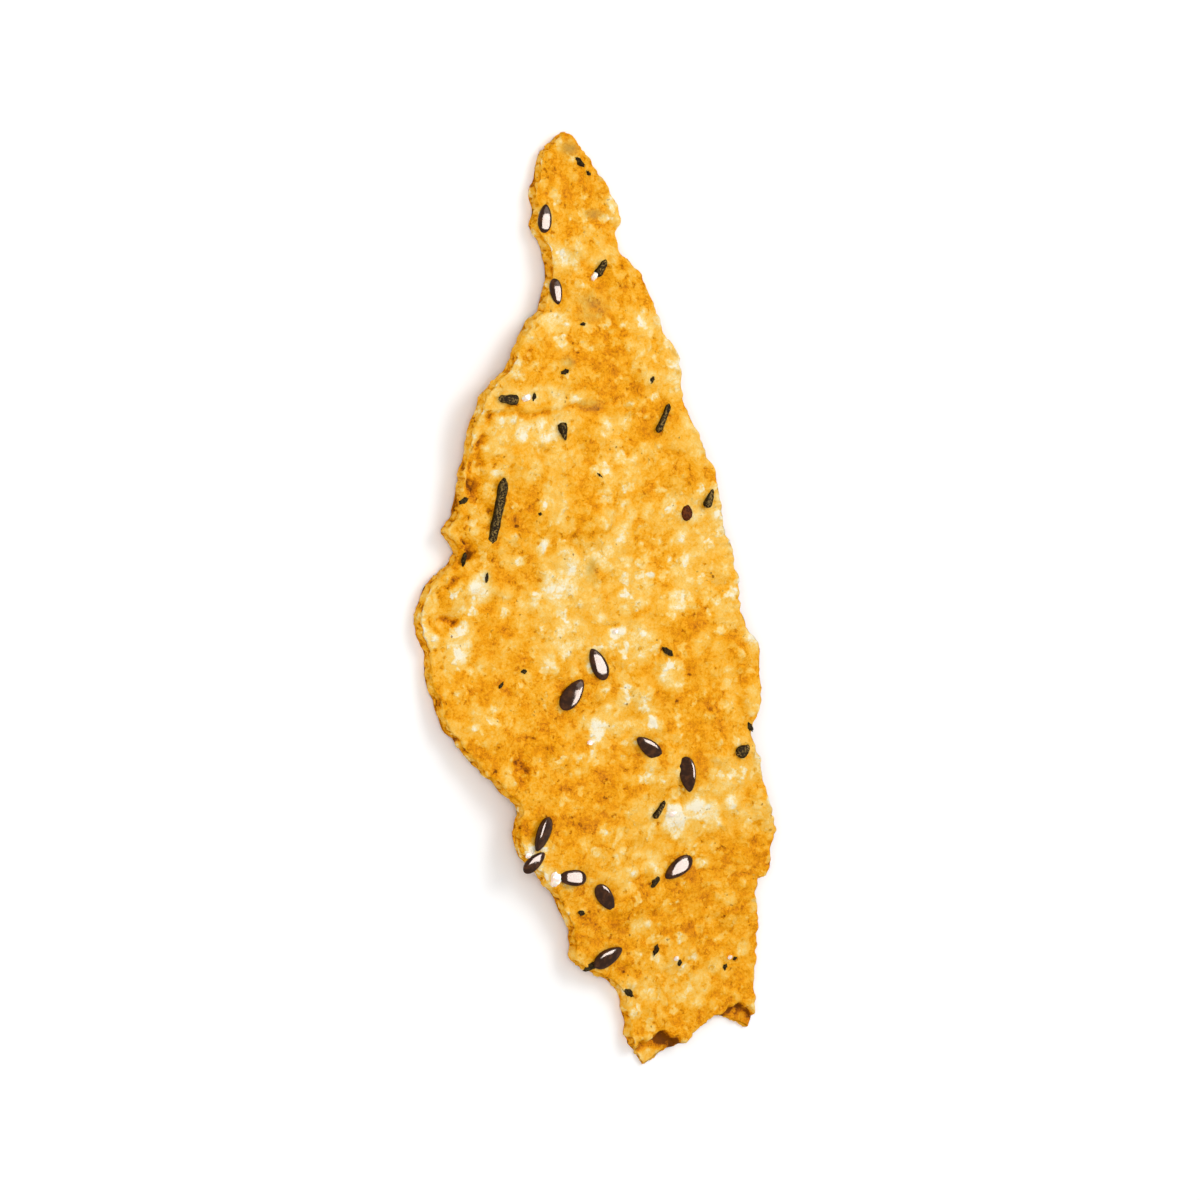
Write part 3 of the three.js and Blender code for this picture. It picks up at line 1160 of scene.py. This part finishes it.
    folds: tuple[Crease, ...] = (
        Crease(((-1.1, 89), (0.8, 87.1), (1.5, 84.1), (0.9, 81.1)), 0.6, 0.3),
        Crease(((-14.5, 47.2), (-13.9, 45.8), (-13.3, 43.8)), 0.5, -0.4),
        Crease(((-20.1, 94.8), (-21.1, 89.8), (-21.5, 85.4)), 0.6, -0.4),
        Crease(((-22.4, 79.2), (-22, 77.2), (-22.3, 75.2)), 0.4, -0.5),
        Crease(((-27.6, 67.4), (-27.3, 66.2)), 0.3, -0.2),
        Crease(((-25.4, 66.2), (-24.4, 65.8), (-23.4, 66.2)), 0.6, -0.45),
    )
    groove_ends: tuple[float, float] = (66.0, 112.0)
    browning: tuple[tuple[float, float], ...] = (
        (0, -0.11), (34, -0.13), (50, 0.03), (64, 0.05), (82, 0), (110, -0.03),
    )
    smooth_patch: Patch = Patch(-13.9, 107.2, 4.2, 7, 1)

    def build(self, beds: Array) -> bpy.types.Object:
        """Makes the sheet.

        Args:
            beds: Middles of the seeds, x and y, round which the dough swells.

        Returns:
            The piece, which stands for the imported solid.
        """
        shell = Shell()
        outline = self.relief.outline
        grid = outline.grid(self.across, self.along)
        rim = self._ring(grid)
        to_rim = self._distance(grid, rim[:-1])
        heights, tints = self._upper(grid, to_rim, beds)
        coarse = grid[::2, ::2]
        bottoms, bottom_tints = self._under(coarse)
        top = shell.add(np.dstack([grid, heights]), [], **tints)
        shell.faces.extend(quads(top))
        bottom = shell.add(np.dstack([coarse, bottoms]), [], **bottom_tints)
        shell.faces.extend(quads(bottom, up=False))
        self._close_rim(shell, top, bottom)
        piece = shell.piece("dough_sheet", self.finish.material())
        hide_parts("cracker")
        return piece

    @staticmethod
    def _ring(rows: Array) -> Array:
        """Follows a grid's border once round, from the foot's left corner, and closes it."""
        return np.concatenate([rows[0, :-1], rows[:-1, -1], rows[-1, :0:-1], rows[:0:-1, 0], rows[0, :1]])

    @staticmethod
    def _distance(points: Array, rim: Array) -> Array:
        """Measures how far each place is from the rim.

        Args:
            points: Places on the sheet, in millimetres.
            rim: Points along the rim.

        Returns:
            The distance from each place to the nearest point of the rim.
        """
        flat = points.reshape(-1, 2)
        nearest = np.empty(len(flat))
        for start in range(0, len(flat), BATCH):
            batch = flat[start : start + BATCH]
            away = np.linalg.norm(batch[:, None] - rim[None], axis=-1)
            nearest[start : start + BATCH] = away.min(axis=1)
        return nearest.reshape(points.shape[:-1])

    def _upper(self, points: Array, to_rim: Array, beds: Array) -> tuple[Array, dict[str, Array]]:
        """Works out the upper face.

        Args:
            points: The grid, in millimetres.
            to_rim: How far each point is from the rim.
            beds: Middles of the seeds.

        Returns:
            The heights, and the tints by name.
        """
        outline = self.relief.outline
        warp, jitter = shove(self.warp, points), shove(self.jitter, points)
        warped = points + self.pearl_warp * warp + self.pearl_jitter * jitter
        frayed = points + self.patch_warp * warp
        ragged = self.fray.at(points)
        torn = np.clip(self.torn_share + self.tearing.at(points), 0, 1)
        blister_pale = self.relief.blisters.at(points, 3)[1]
        bubble_pale = self.relief.bubbles.at(points, 13)[1]
        pearl, pearl_pale = self.pearls.at(warped, 31)
        grain = self.grains.at(warped, 43)[0]

        cream = strongest(self.pale_patches, frayed, outline, ragged)
        toast = strongest(self.toasted_patches, frayed, outline, ragged)
        herb = strongest(self.herb_stains, points, outline, ragged)
        pit = self.relief.pit(points, self.pit_fray * ragged)
        calm = 1 - self.cream_calm * np.clip(cream, 0, 1)
        smooth = step(0.2, 0.6, self.smooth_patch.at(points, outline, ragged))

        rough = (1 - self.smoothness * smooth) * step(0, 1.2, to_rim + 0.4)
        height = self.relief.upper_face(points)
        height += rough * calm * (pearl + grain - self.crumb_sink + self.crumb.at(points))
        height -= pit
        at_rim = np.exp(-to_rim / self.rim_reach)
        lip = np.exp(-((to_rim / self.lip_width) ** 2)) * (2.4 * np.abs(self.lip_crags.at(points)) - 0.6)
        height += self.lip * lip - self.rim_drop * at_rim

        lap = self.relief.lap
        shift = 0.5 * wander(points[..., 0] / 2.6, 61)
        height += lap.raised(points, outline, shift)
        above, inside = lap.beyond(points, outline)
        # Painted shadow: a dark band along the foot of the lap's step.
        painted_lap_shadow = inside * np.exp(-(((above + shift + 0.45) / 0.4) ** 2))

        groove = self._groove(points, to_rim, ragged) * (0.4 + 0.6 * torn)
        height -= self.groove_depth * groove
        # A raised fold is lighter along its crest: painted highlight. A crack is darkened along it: painted
        # shade.
        crack = np.zeros(points.shape[:-1])
        for fold in self.folds:
            near = fold.near(frayed + self.fold_jitter * jitter, outline)
            if fold.height > 0:
                cream = np.maximum(cream, 0.3 * near)
            else:
                near *= 0.5 + 0.5 * torn
                crack = np.maximum(crack, near)
            height += fold.height * near

        aways = [np.linalg.norm(points - bed, axis=-1) for bed in beds]
        offs = [(away - self.swell_reach) / self.swell_half_width for away in aways]
        swell = np.max([np.exp(-(off**2)) for off in offs], axis=0)
        height += self.swell_height * swell

        edge = self.relief.pocket_edge(points) + self.pocket_rim.at(points)
        pocket = step(1.06, 0.94, edge)
        hollow = self.relief.bed(points) + self.relief.lower_skin + self.pocket_floor.at(points)
        height = height + (hollow - height) * pocket
        # Painted shadow under each broken bubble's upper lip.
        painted_lip_shadow = pocket * step(0.55, 1.0, edge) ** 1.5 * self.relief.pocket_upside(points)
        painted_lip_shadow *= 0.6 + 0.4 * torn

        tone = self.tones
        bake = self.broad_mottle.at(points) + sum(mottle.at(frayed) for mottle in self.mottles)
        bake += np.interp(points[..., 1] + outline.length / 2, *zip(*self.browning))
        bake += calm * tone.pearl * (step(0.2, 0.95, pearl_pale) - 0.3)
        bake += calm * tone.bubble * (bubble_pale - 0.35) + tone.blister * (blister_pale - 0.3)
        bake += tone.cream * cream * (0.85 + 0.4 * ragged) + tone.toast * toast * (0.9 + 0.4 * ragged)
        bake += tone.lip * at_rim * lip + tone.rim * np.exp(-to_rim / self.toasted_reach)
        bake += tone.swell * swell
        over = (self.middle_tone + bake - self.darkest) / self.darkest_reach
        bake = self.darkest + self.darkest_reach * np.logaddexp(0, over)
        # Painted shade: the pits, the groove, the band below the lap, the broken bubbles' upper lips and
        # floors, and the cracks are darkened.
        bake += tone.pit * pit + tone.groove * groove + tone.painted_lap_shadow * painted_lap_shadow
        bake += tone.painted_lip_shadow * painted_lip_shadow + tone.pocket * pocket + tone.crack * crack
        herb = np.clip(0.9 * herb * (0.55 + ragged), 0, 1)
        return height, {Tint.BAKE_AND_SHADE.value: bake, Tint.HERB.value: herb}

    def _groove(self, points: Array, to_rim: Array, ragged: Array) -> Array:
        """Tears a groove just inside the left rim.

        Args:
            points: The grid, in millimetres.
            to_rim: How far each point is from the rim.
            ragged: Noise that frays the groove.

        Returns:
            For each point, 1 in the groove and 0 outside it.
        """
        low, high = self.relief.outline.placed([(0, end) for end in self.groove_ends])[:, 1]
        x, y = points[..., 0], points[..., 1]
        inside = step(low, low + self.groove_fade, y) * step(high, high - self.groove_fade, y)
        left = step(2, -4, x - np.interp(y, (low, high), (-12, 0)))
        off = (to_rim - self.groove_inset - 0.5 * ragged) / self.groove_half_width
        return inside * left * np.exp(-(off**2)) * step(-0.7, 0.3, ragged)

    def _under(self, points: Array) -> tuple[Array, dict[str, Array]]:
        """Works out the lower face.

        Args:
            points: The coarser grid, in millimetres.

        Returns:
            The heights, and the tints by name.
        """
        pearl, pearl_pale = self.pearls.at(points, 131)
        share = self.relief.arch(points)
        height = self.relief.underside(points) + share * (self.under_crumb.at(points) - 0.5 * pearl)
        bake = self.under_tone + self.under_mottle.at(points)
        # Painted shade: the underside is darker where the sheet rests on the table.
        bake += 0.26 * (pearl_pale - 0.3) - 0.15 * (1 - share)
        return np.maximum(0, height), {Tint.BAKE_AND_SHADE.value: bake, Tint.HERB.value: np.zeros_like(bake)}

    def _close_rim(self, shell: Shell, top: Array, bottom: Array) -> None:
        """Joins the two faces by a crumbled rim that stands out between them.

        Args:
            shell: The mesh in the making.
            top: Numbers of the upper face's points.
            bottom: Numbers of the lower face's points, on every second row and column.
        """
        points = np.vstack(shell.points)
        upper, lower = self._ring(top)[:-1], self._ring(bottom)[:-1]
        around = len(upper)
        high = points[upper]
        closed_z = points[np.append(lower, lower[0]), 2]
        low_z = np.interp(np.arange(around), np.arange(0, around + 1, 2), closed_z)
        along = np.roll(high, -1, axis=0) - np.roll(high, 1, axis=0)
        along[:, 2] = 0
        along /= np.linalg.norm(along, axis=1, keepdims=True)
        out = np.stack([along[:, 1], -along[:, 0]], axis=1)
        length = np.cumsum(np.linalg.norm(np.diff(high[:, :2], axis=0, prepend=high[:1, :2]), axis=1))
        bulge = self.relief.outline.rim_bulge * (0.55 + 0.3 * wander(length / 1.7, 91))
        rings = [upper]
        for share in self.rim_rings:
            face = np.column_stack([length, np.full(around, share * self.relief.sheet)])
            lumps = np.abs(self.rim_lumps.at(face))
            crumbs = self.crumble * (2.2 * np.minimum(lumps, 0.5) - 0.5) * math.sin(math.pi * share) ** 0.3
            stand = bulge * math.sin(math.pi * share) ** 0.6 - 0.3 * self.crumble
            place = high[:, :2] + out * (stand + crumbs)[:, None]
            z = high[:, 2] + (low_z - high[:, 2]) * share + self.rim_waver.at(face)
            ring = np.column_stack([place, np.maximum(0.15 * (1 - share), z)])
            # The crevices between the rim's lumps are darker: painted shade. The rim's colour also darkens
            # towards its bottom.
            baked = step(0, 0.32, lumps) - 0.6 + self.rim_mottle.at(face)
            bake = np.minimum(self.rim_tone, self.rim_tone - 0.2 * share + 0.7 * baked)
            rings.append(shell.add(ring, [], bake=bake, herb=np.zeros(around)))
        for first, second in zip(rings[:-1], rings[1:]):
            belt = np.vstack([np.append(second, second[0]), np.append(first, first[0])])
            shell.faces.extend(quads(belt))
        last = rings[-1]
        for k in range(0, around, 2):
            here, there = lower[k // 2], lower[(k // 2 + 1) % len(lower)]
            first, middle, final = last[k], last[k + 1], last[(k + 2) % around]
            fan = ((here, middle, first), (here, there, middle), (there, final, middle))
            shell.faces.extend(tuple(int(number) for number in face) for face in fan)


# What lies on the dough


@dataclass(frozen=True)
class Setting:
    """How a topping lies: where in outline millimetres, which way it points and how it tips."""

    x: float
    y: float
    heading: float
    roll: float = 0.0
    pitch: float = 0.0
    follow: float = 0.5
    reach: float = 1.5

    def matrix(self, relief: Relief, proud: float) -> Matrix:
        """Places a topping on the dough.

        Args:
            relief: The dough's heights.
            proud: How far the topping's middle stands above the dough, in millimetres.

        Returns:
            The matrix from the topping's own axes to the part's, in millimetres.
        """
        point = relief.outline.placed((self.x, self.y))
        around = point + self.reach * np.array([[1, 0], [-1, 0], [0, 1], [0, -1], [0, 0]])
        right, left, up, down, middle = relief.surface(around)
        normal = Vector((left - right, down - up, 2 * self.reach / self.follow)).normalized()
        lie = Vector((0, 0, 1)).rotation_difference(normal).to_matrix().to_4x4()
        placing = Matrix.Translation((*point, middle + proud)) @ lie
        for angle, axis in ((self.heading, "Z"), (self.roll, "X"), (self.pitch, "Y")):
            placing = placing @ Matrix.Rotation(math.radians(angle), 4, axis)
        return placing


def moved(points: Array, matrix: Matrix) -> Array:
    """Points moved by a matrix."""
    m = np.array(matrix)
    return points @ m[:3, :3].T + m[:3, 3]


def rod(
    sections: Array, around: int, half_width: Array, half_height: Array, section_power: float
) -> tuple[Array, list]:
    """Draws a closed body along +X from oval sections that shrink to a point at both ends.

    Args:
        sections: Places of its sections along X.
        around: Points round each section.
        half_width: Half its width at each section.
        half_height: Half its height at each section.
        section_power: 1 for round sections, less for boxier ones.

    Returns:
        Its points, section by section, and its faces.
    """
    turn = np.linspace(0, 2 * math.pi, around, endpoint=False)
    side = np.sign(np.cos(turn)) * np.abs(np.cos(turn)) ** section_power
    rise = np.sign(np.sin(turn)) * np.abs(np.sin(turn)) ** section_power
    along = np.repeat(sections[:, None], around, axis=1)
    points = np.stack([along, half_width[:, None] * side, half_height[:, None] * rise], axis=-1)
    numbers = np.arange(len(sections) * around).reshape(len(sections), around)
    wrapped = np.hstack([numbers, numbers[:, :1]])
    faces = quads(wrapped)
    faces.append(numbers[0].tolist()[::-1])
    faces.append(numbers[-1].tolist())
    return points.reshape(-1, 3), faces


@dataclass(frozen=True)
class FlaxSeeds:
    """Flax seeds baked into the upper face: flat drops with a pointed end and a smooth back.

    Each is given by its setting and its length.
    """

    relief: Relief
    husk: SeedHusk = SeedHusk()
    width: float = 0.49
    width_spread: float = 0.12
    thickness: float = 0.22
    reach: float = 0.985
    sections: int = 19
    around: int = 22
    section_power: float = 0.6
    lift: float = 0.15
    roll_lift: float = 0.2
    settings: tuple[tuple[Setting, float], ...] = (
        (Setting(-8.9, 126.7, 85, 0, 0, 0.1), 4.3),
        (Setting(-7.4, 115.8, -80, 5, 0, 0.1), 4),
        (Setting(-0.8, 60.2, 117, 0, 0, 0.1), 5.2),
        (Setting(-5, 55.7, 52, -12, 0, 0.1), 5.6),
        (Setting(7.5, 47.7, 144, -14, -6, 0.2), 5.1),
        (Setting(13.8, 43.6, -81, 25, 0, 0.3), 5.4),
        (Setting(-10.6, 35, -114, -24, 0, 0.4), 5.5),
        (Setting(-12, 30.8, 40, 8, 0, 0.3), 4.4),
        (Setting(-5.5, 28.4, 177, 4, 2, 0.1), 4.7),
        (Setting(0.5, 25.3, -53, 16, 10, 0.2), 5),
        (Setting(13.4, 29.5, -146, 3, 0, 0.1), 5.4),
        (Setting(1.3, 16.3, 28, 14, 0, 0.1), 5.4),
    )

    def beds(self) -> Array:
        """Middles of the seeds, x and y in millimetres."""
        return self.relief.outline.placed([(setting.x, setting.y) for setting, _ in self.settings])

    def build(self) -> bpy.types.Object:
        """Makes the seeds.

        Returns:
            The piece that holds them all.
        """
        shell = Shell()
        share = np.sin(np.linspace(-0.5, 0.5, self.sections) * math.pi * self.reach)
        swell = (1 - np.abs(share) ** 2.2) ** 0.52
        drop = 1 - 0.22 * share - 0.10 * share**2
        for number, (setting, length) in enumerate(self.settings):
            wide = self.width * length * (1 + self.width_spread * (chance(number, 5) - 0.5))
            thick = self.thickness * length
            half_width, half_height = swell * drop * wide / 2, swell * thick / 2
            points, faces = rod(share * length / 2, self.around, half_width, half_height, self.section_power)
            lifted = self.lift * thick + self.roll_lift * wide * abs(math.sin(math.radians(setting.roll)))
            shell.add(moved(points, setting.matrix(self.relief, lifted)), faces)
        return shell.piece("flax_seeds", self.husk.material())


@dataclass(frozen=True)
class Rosemary:
    """Needles and snapped bits of rosemary, each a stiff leaf with a groove along its back.

    Each is given by its setting, its length, its width and how much it narrows to one end.
    """

    relief: Relief
    herb: DriedHerb = DriedHerb()
    thickness: float = 0.8
    bluntness: float = 0.25
    knots: float = 0.8
    knot_height: float = 0.14
    groove_width: float = 0.2
    groove_depth: float = 0.22
    bend: float = 0.25
    sections: int = 15
    around: int = 14
    section_power: float = 0.75
    lift: float = 0.3
    bits: tuple[tuple[Setting, float, float, float], ...] = (
        (Setting(-17.5, 83, 81), 10, 1.5, 0),
        (Setting(9.9, 97.1, 65), 4.8, 0.95, 0.15),
        (Setting(-16.6, 99.5, -3), 3.4, 1.4, -0.15),
        (Setting(-6.9, 94.9, -75), 2.7, 1.1, 0.6),
        (Setting(0.3, 119.5, 55), 3, 1.2, 0.3),
        (Setting(17.5, 85.1, 68), 3, 1.1, 0.5),
        (Setting(23.3, 47, 30), 2.6, 1.7, 0.3),
        (Setting(9.5, 38.3, 55), 3.2, 0.8, 0.3),
    )

    def build(self) -> bpy.types.Object:
        """Makes the needles and bits.

        Returns:
            The piece that holds them all.
        """
        shell = Shell()
        share = np.linspace(-1, 1, self.sections)
        for number, (setting, length, width, taper) in enumerate(self.bits):
            blunt = (1 - np.abs(share) ** (2 * length / width)) ** 0.5
            blunt = np.maximum(blunt, self.bluntness) * (1 - taper * share)
            uneven = 1 + self.knot_height * wander(share * length / self.knots, 201 + number)
            half_width, half_height = blunt * uneven * width / 2, blunt * self.thickness / 2
            points, faces = rod(share * length / 2, self.around, half_width, half_height, self.section_power)
            groove = np.exp(-((points[:, 1] / (self.groove_width * width)) ** 2)) * (points[:, 2] > 0)
            points[:, 2] -= self.groove_depth * groove
            points[:, 1] += self.bend * (points[:, 0] / length) ** 2 * width
            matrix = setting.matrix(self.relief, self.lift * self.thickness)
            shell.add(moved(points, matrix), faces, groove=groove)
        return shell.piece("rosemary_bits", self.herb.material())


@dataclass(frozen=True)
class Chips:
    """Small lumps of one kind strewn on the dough, each an uneven pebble.

    Each is given by x and y in outline millimetres, its heading, its length, width and height.
    """

    relief: Relief
    name: str
    material: bpy.types.Material
    lumps: tuple[tuple[float, float, float, float, float, float], ...]
    jitter: float = 0.25
    proud: float = 0.05
    around: int = 8
    reach: float = 0.93
    sections: int = 7
    section_power: float = 0.85
    seeds: tuple[int, int, int] = (301, 307, 311)

    def build(self) -> bpy.types.Object:
        """Makes the lumps.

        Returns:
            The piece that holds them all.
        """
        shell = Shell()
        share = np.sin(np.linspace(-0.5, 0.5, self.sections) * math.pi * self.reach)
        swell = (1 - share**2) ** 0.5
        for number, (x, y, heading, length, width, height) in enumerate(self.lumps):
            half_width, half_height = swell * width / 2, swell * height / 2
            points, faces = rod(share * length / 2, self.around, half_width, half_height, self.section_power)
            keys = np.arange(len(points))
            rough = np.stack([chance(keys, number, seed) for seed in self.seeds], axis=-1) - 0.5
            points = points * (1 + self.jitter * 2 * rough)
            matrix = Setting(x, y, heading).matrix(self.relief, self.proud)
            shell.add(moved(points, matrix), faces, groove=np.zeros(len(points)))
        return shell.piece(self.name, self.material, smooth=False)


HERB_FLECKS = (
    (-2.9, 135.3, -40, 1.7, 0.9, 0.5), (-1.6, 133.7, -40, 0.9, 0.6, 0.4), (-6.9, 103.8, 20, 1.2, 0.8, 0.4),
    (7.8, 102.8, 60, 1.1, 0.7, 0.4), (-12.1, 100, 80, 1.2, 0.6, 0.4), (10.4, 62.1, -35, 1.9, 1, 0.5),
    (-12.5, 59.2, 10, 0.9, 0.7, 0.4), (-16.3, 57.1, 50, 1.2, 0.5, 0.3), (-3.3, 23.1, 0, 1.1, 0.9, 0.4),
    (24.8, 50.6, -60, 1.3, 0.8, 0.5), (10, 17.1, 70, 1.7, 0.9, 0.5), (13.8, 15.1, 80, 0.9, 0.7, 0.4),
    (22.1, 14.2, 60, 1, 0.7, 0.4), (23.7, 15.5, 30, 0.7, 0.5, 0.4), (5.4, 10.8, -30, 2, 1, 0.5),
    (-1.4, 15, 20, 2.4, 1.1, 0.5), (9.5, 27.4, 60, 1.7, 1.1, 0.5), (-22.9, 84.5, 25, 1.6, 0.8, 0.4),
    (-22.4, 75.8, 80, 2, 0.7, 0.4), (-10.7, 82.6, 0, 0.6, 0.5, 0.3), (-0.9, 88.4, -40, 1, 0.4, 0.3),
    (-3.2, 111, 10, 0.8, 0.5, 0.3), (-18.7, 73.1, 80, 1.3, 0.6, 0.3),
)
TOASTED_CRUMBS = ((13.9, 82.9, 88, 2.3, 1.8, 0.7),)
SALT_GRAINS = (
    (-8.1, 28.3, 70, 2.4, 1.9, 1), (-13.5, 99.8, 20, 1.5, 1.1, 0.8), (-0.9, 118.3, 60, 1.5, 0.9, 0.7),
    (13.1, 15.8, 30, 0.8, 0.7, 0.5), (22.8, 15.7, 30, 0.8, 0.6, 0.5), (-13, 32, 50, 1.2, 0.9, 0.7),
    (2, 65.1, 0, 0.9, 0.7, 0.4), (-2, 48.5, 0, 1, 0.8, 0.4), (11.6, 37.7, 10, 1.2, 0.8, 0.4),
)


# The studio


@dataclass(frozen=True)
class Studio:
    """A white table under three soft lamps, and the camera that looks down on the cracker.

    The glint lamp only shows in what shines and the fill lamp only in what doesn't. Each lamp is
    given by the length of its sides, in metres, and its power, in watts.
    """

    target: Vector
    length: float
    yaw: float = 28.5
    lens: float = 200.0
    sensor: float = 36.0
    share: float = 0.78
    table_half: float = 3.0
    lamp_distance: float = 0.6
    glint_lamp: tuple[float, float] = (0.36, 17.0)
    fill_lamp: tuple[float, float] = (0.3, 1.2)
    key_lamp: tuple[float, float] = (0.3, 1.35)
    key_from: tuple[float, float, float] = (0.5, 0.42, 0.76)
    surround: float = 0.6

    def build(self) -> None:
        """Sets up the table, the lamps, the surroundings and the camera."""
        self._table()
        toward = self._camera_direction()
        mirror = Vector((-toward.x, -toward.y, toward.z))
        self._lamp("glint_lamp", mirror, *self.glint_lamp).visible_diffuse = False
        self._lamp("fill_lamp", toward, *self.fill_lamp).visible_glossy = False
        self._lamp("key_lamp", Vector(self.key_from).normalized(), *self.key_lamp)
        self._surroundings()
        self._camera(toward)

    def _camera_direction(self) -> Vector:
        """From the cracker to the camera, which leans to its left."""
        yaw = math.radians(self.yaw)
        return Vector((-math.sin(yaw), 0, math.cos(yaw)))

    def _table(self) -> None:
        """Lays the white table that the cracker lies on."""
        half = self.table_half
        corners = [(-half, -half, 0), (half, -half, 0), (half, half, 0), (-half, half, 0)]
        mesh = bpy.data.meshes.new("table_top")
        mesh.from_pydata(corners, [], [(0, 1, 2, 3)])
        mesh.materials.append(WhiteFloor().material())
        table = bpy.data.objects.new("table_top", mesh)
        bpy.context.scene.collection.objects.link(table)

    def _lamp(self, name: str, direction: Vector, side: float, power: float) -> bpy.types.Object:
        """Hangs a square lamp that faces the cracker.

        Args:
            name: The lamp's name.
            direction: From the cracker to the lamp.
            side: The length of its sides, in metres.
            power: Its power, in watts.

        Returns:
            The lamp.
        """
        data = bpy.data.lights.new(name, "AREA")
        data.shape = "SQUARE"
        data.size = side
        data.energy = power
        lamp = bpy.data.objects.new(name, data)
        lamp.location = self.target + direction * self.lamp_distance
        lamp.rotation_euler = direction.to_track_quat("Z", "Y").to_euler()
        bpy.context.scene.collection.objects.link(lamp)
        return lamp

    def _surroundings(self) -> None:
        """Fills the room with even white light."""
        world = bpy.data.worlds.new("white_room")
        world.use_nodes = True
        background = world.node_tree.nodes["Background"]
        background.inputs["Color"].default_value = (1, 1, 1, 1)
        background.inputs["Strength"].default_value = self.surround
        bpy.context.scene.world = world
        bpy.context.scene.view_settings.view_transform = "Standard"

    def _camera(self, toward: Vector) -> None:
        """Sets the camera so that the cracker fills its share of the picture's height.

        Args:
            toward: From the cracker to the camera.
        """
        data = bpy.data.cameras.new("camera")
        data.lens = self.lens
        data.sensor_width = self.sensor
        data.clip_start = 0.01
        camera = bpy.data.objects.new("camera", data)
        distance = self.length / self.share * self.lens / self.sensor
        up = Vector((0, 1, 0))
        turn = Matrix((up.cross(toward), up, toward)).transposed().to_4x4()
        camera.matrix_world = Matrix.Translation(self.target + toward * distance) @ turn
        bpy.context.scene.collection.objects.link(camera)
        bpy.context.scene.camera = camera


def main() -> None:
    """Builds the cracker piece by piece, then the studio."""
    logging.basicConfig(level=logging.INFO, format="%(name)s: %(message)s")
    relief = Relief(Outline())
    seeds = FlaxSeeds(relief)
    DoughSheet(relief).build(seeds.beds())
    seeds.build()
    Rosemary(relief).build()
    Chips(relief, "herb_flecks", DriedHerb().material(), HERB_FLECKS, jitter=0.4, proud=0.0, around=7).build()
    crumb = DriedHerb("toasted_crumb", dark=(0.055, 0.011, 0.002), lighter=(0.15, 0.035, 0.005))
    Chips(relief, "toasted_crumbs", crumb.material(), TOASTED_CRUMBS, 0.1, proud=0.0, around=14).build()
    Chips(relief, "salt_grains", SaltGrain().material(), SALT_GRAINS, proud=0.2).build()
    low, high = CAD_BOX
    Studio(target=(low + high) / 2, length=high.y - low.y).build()


if __name__ == "__main__":
    main()
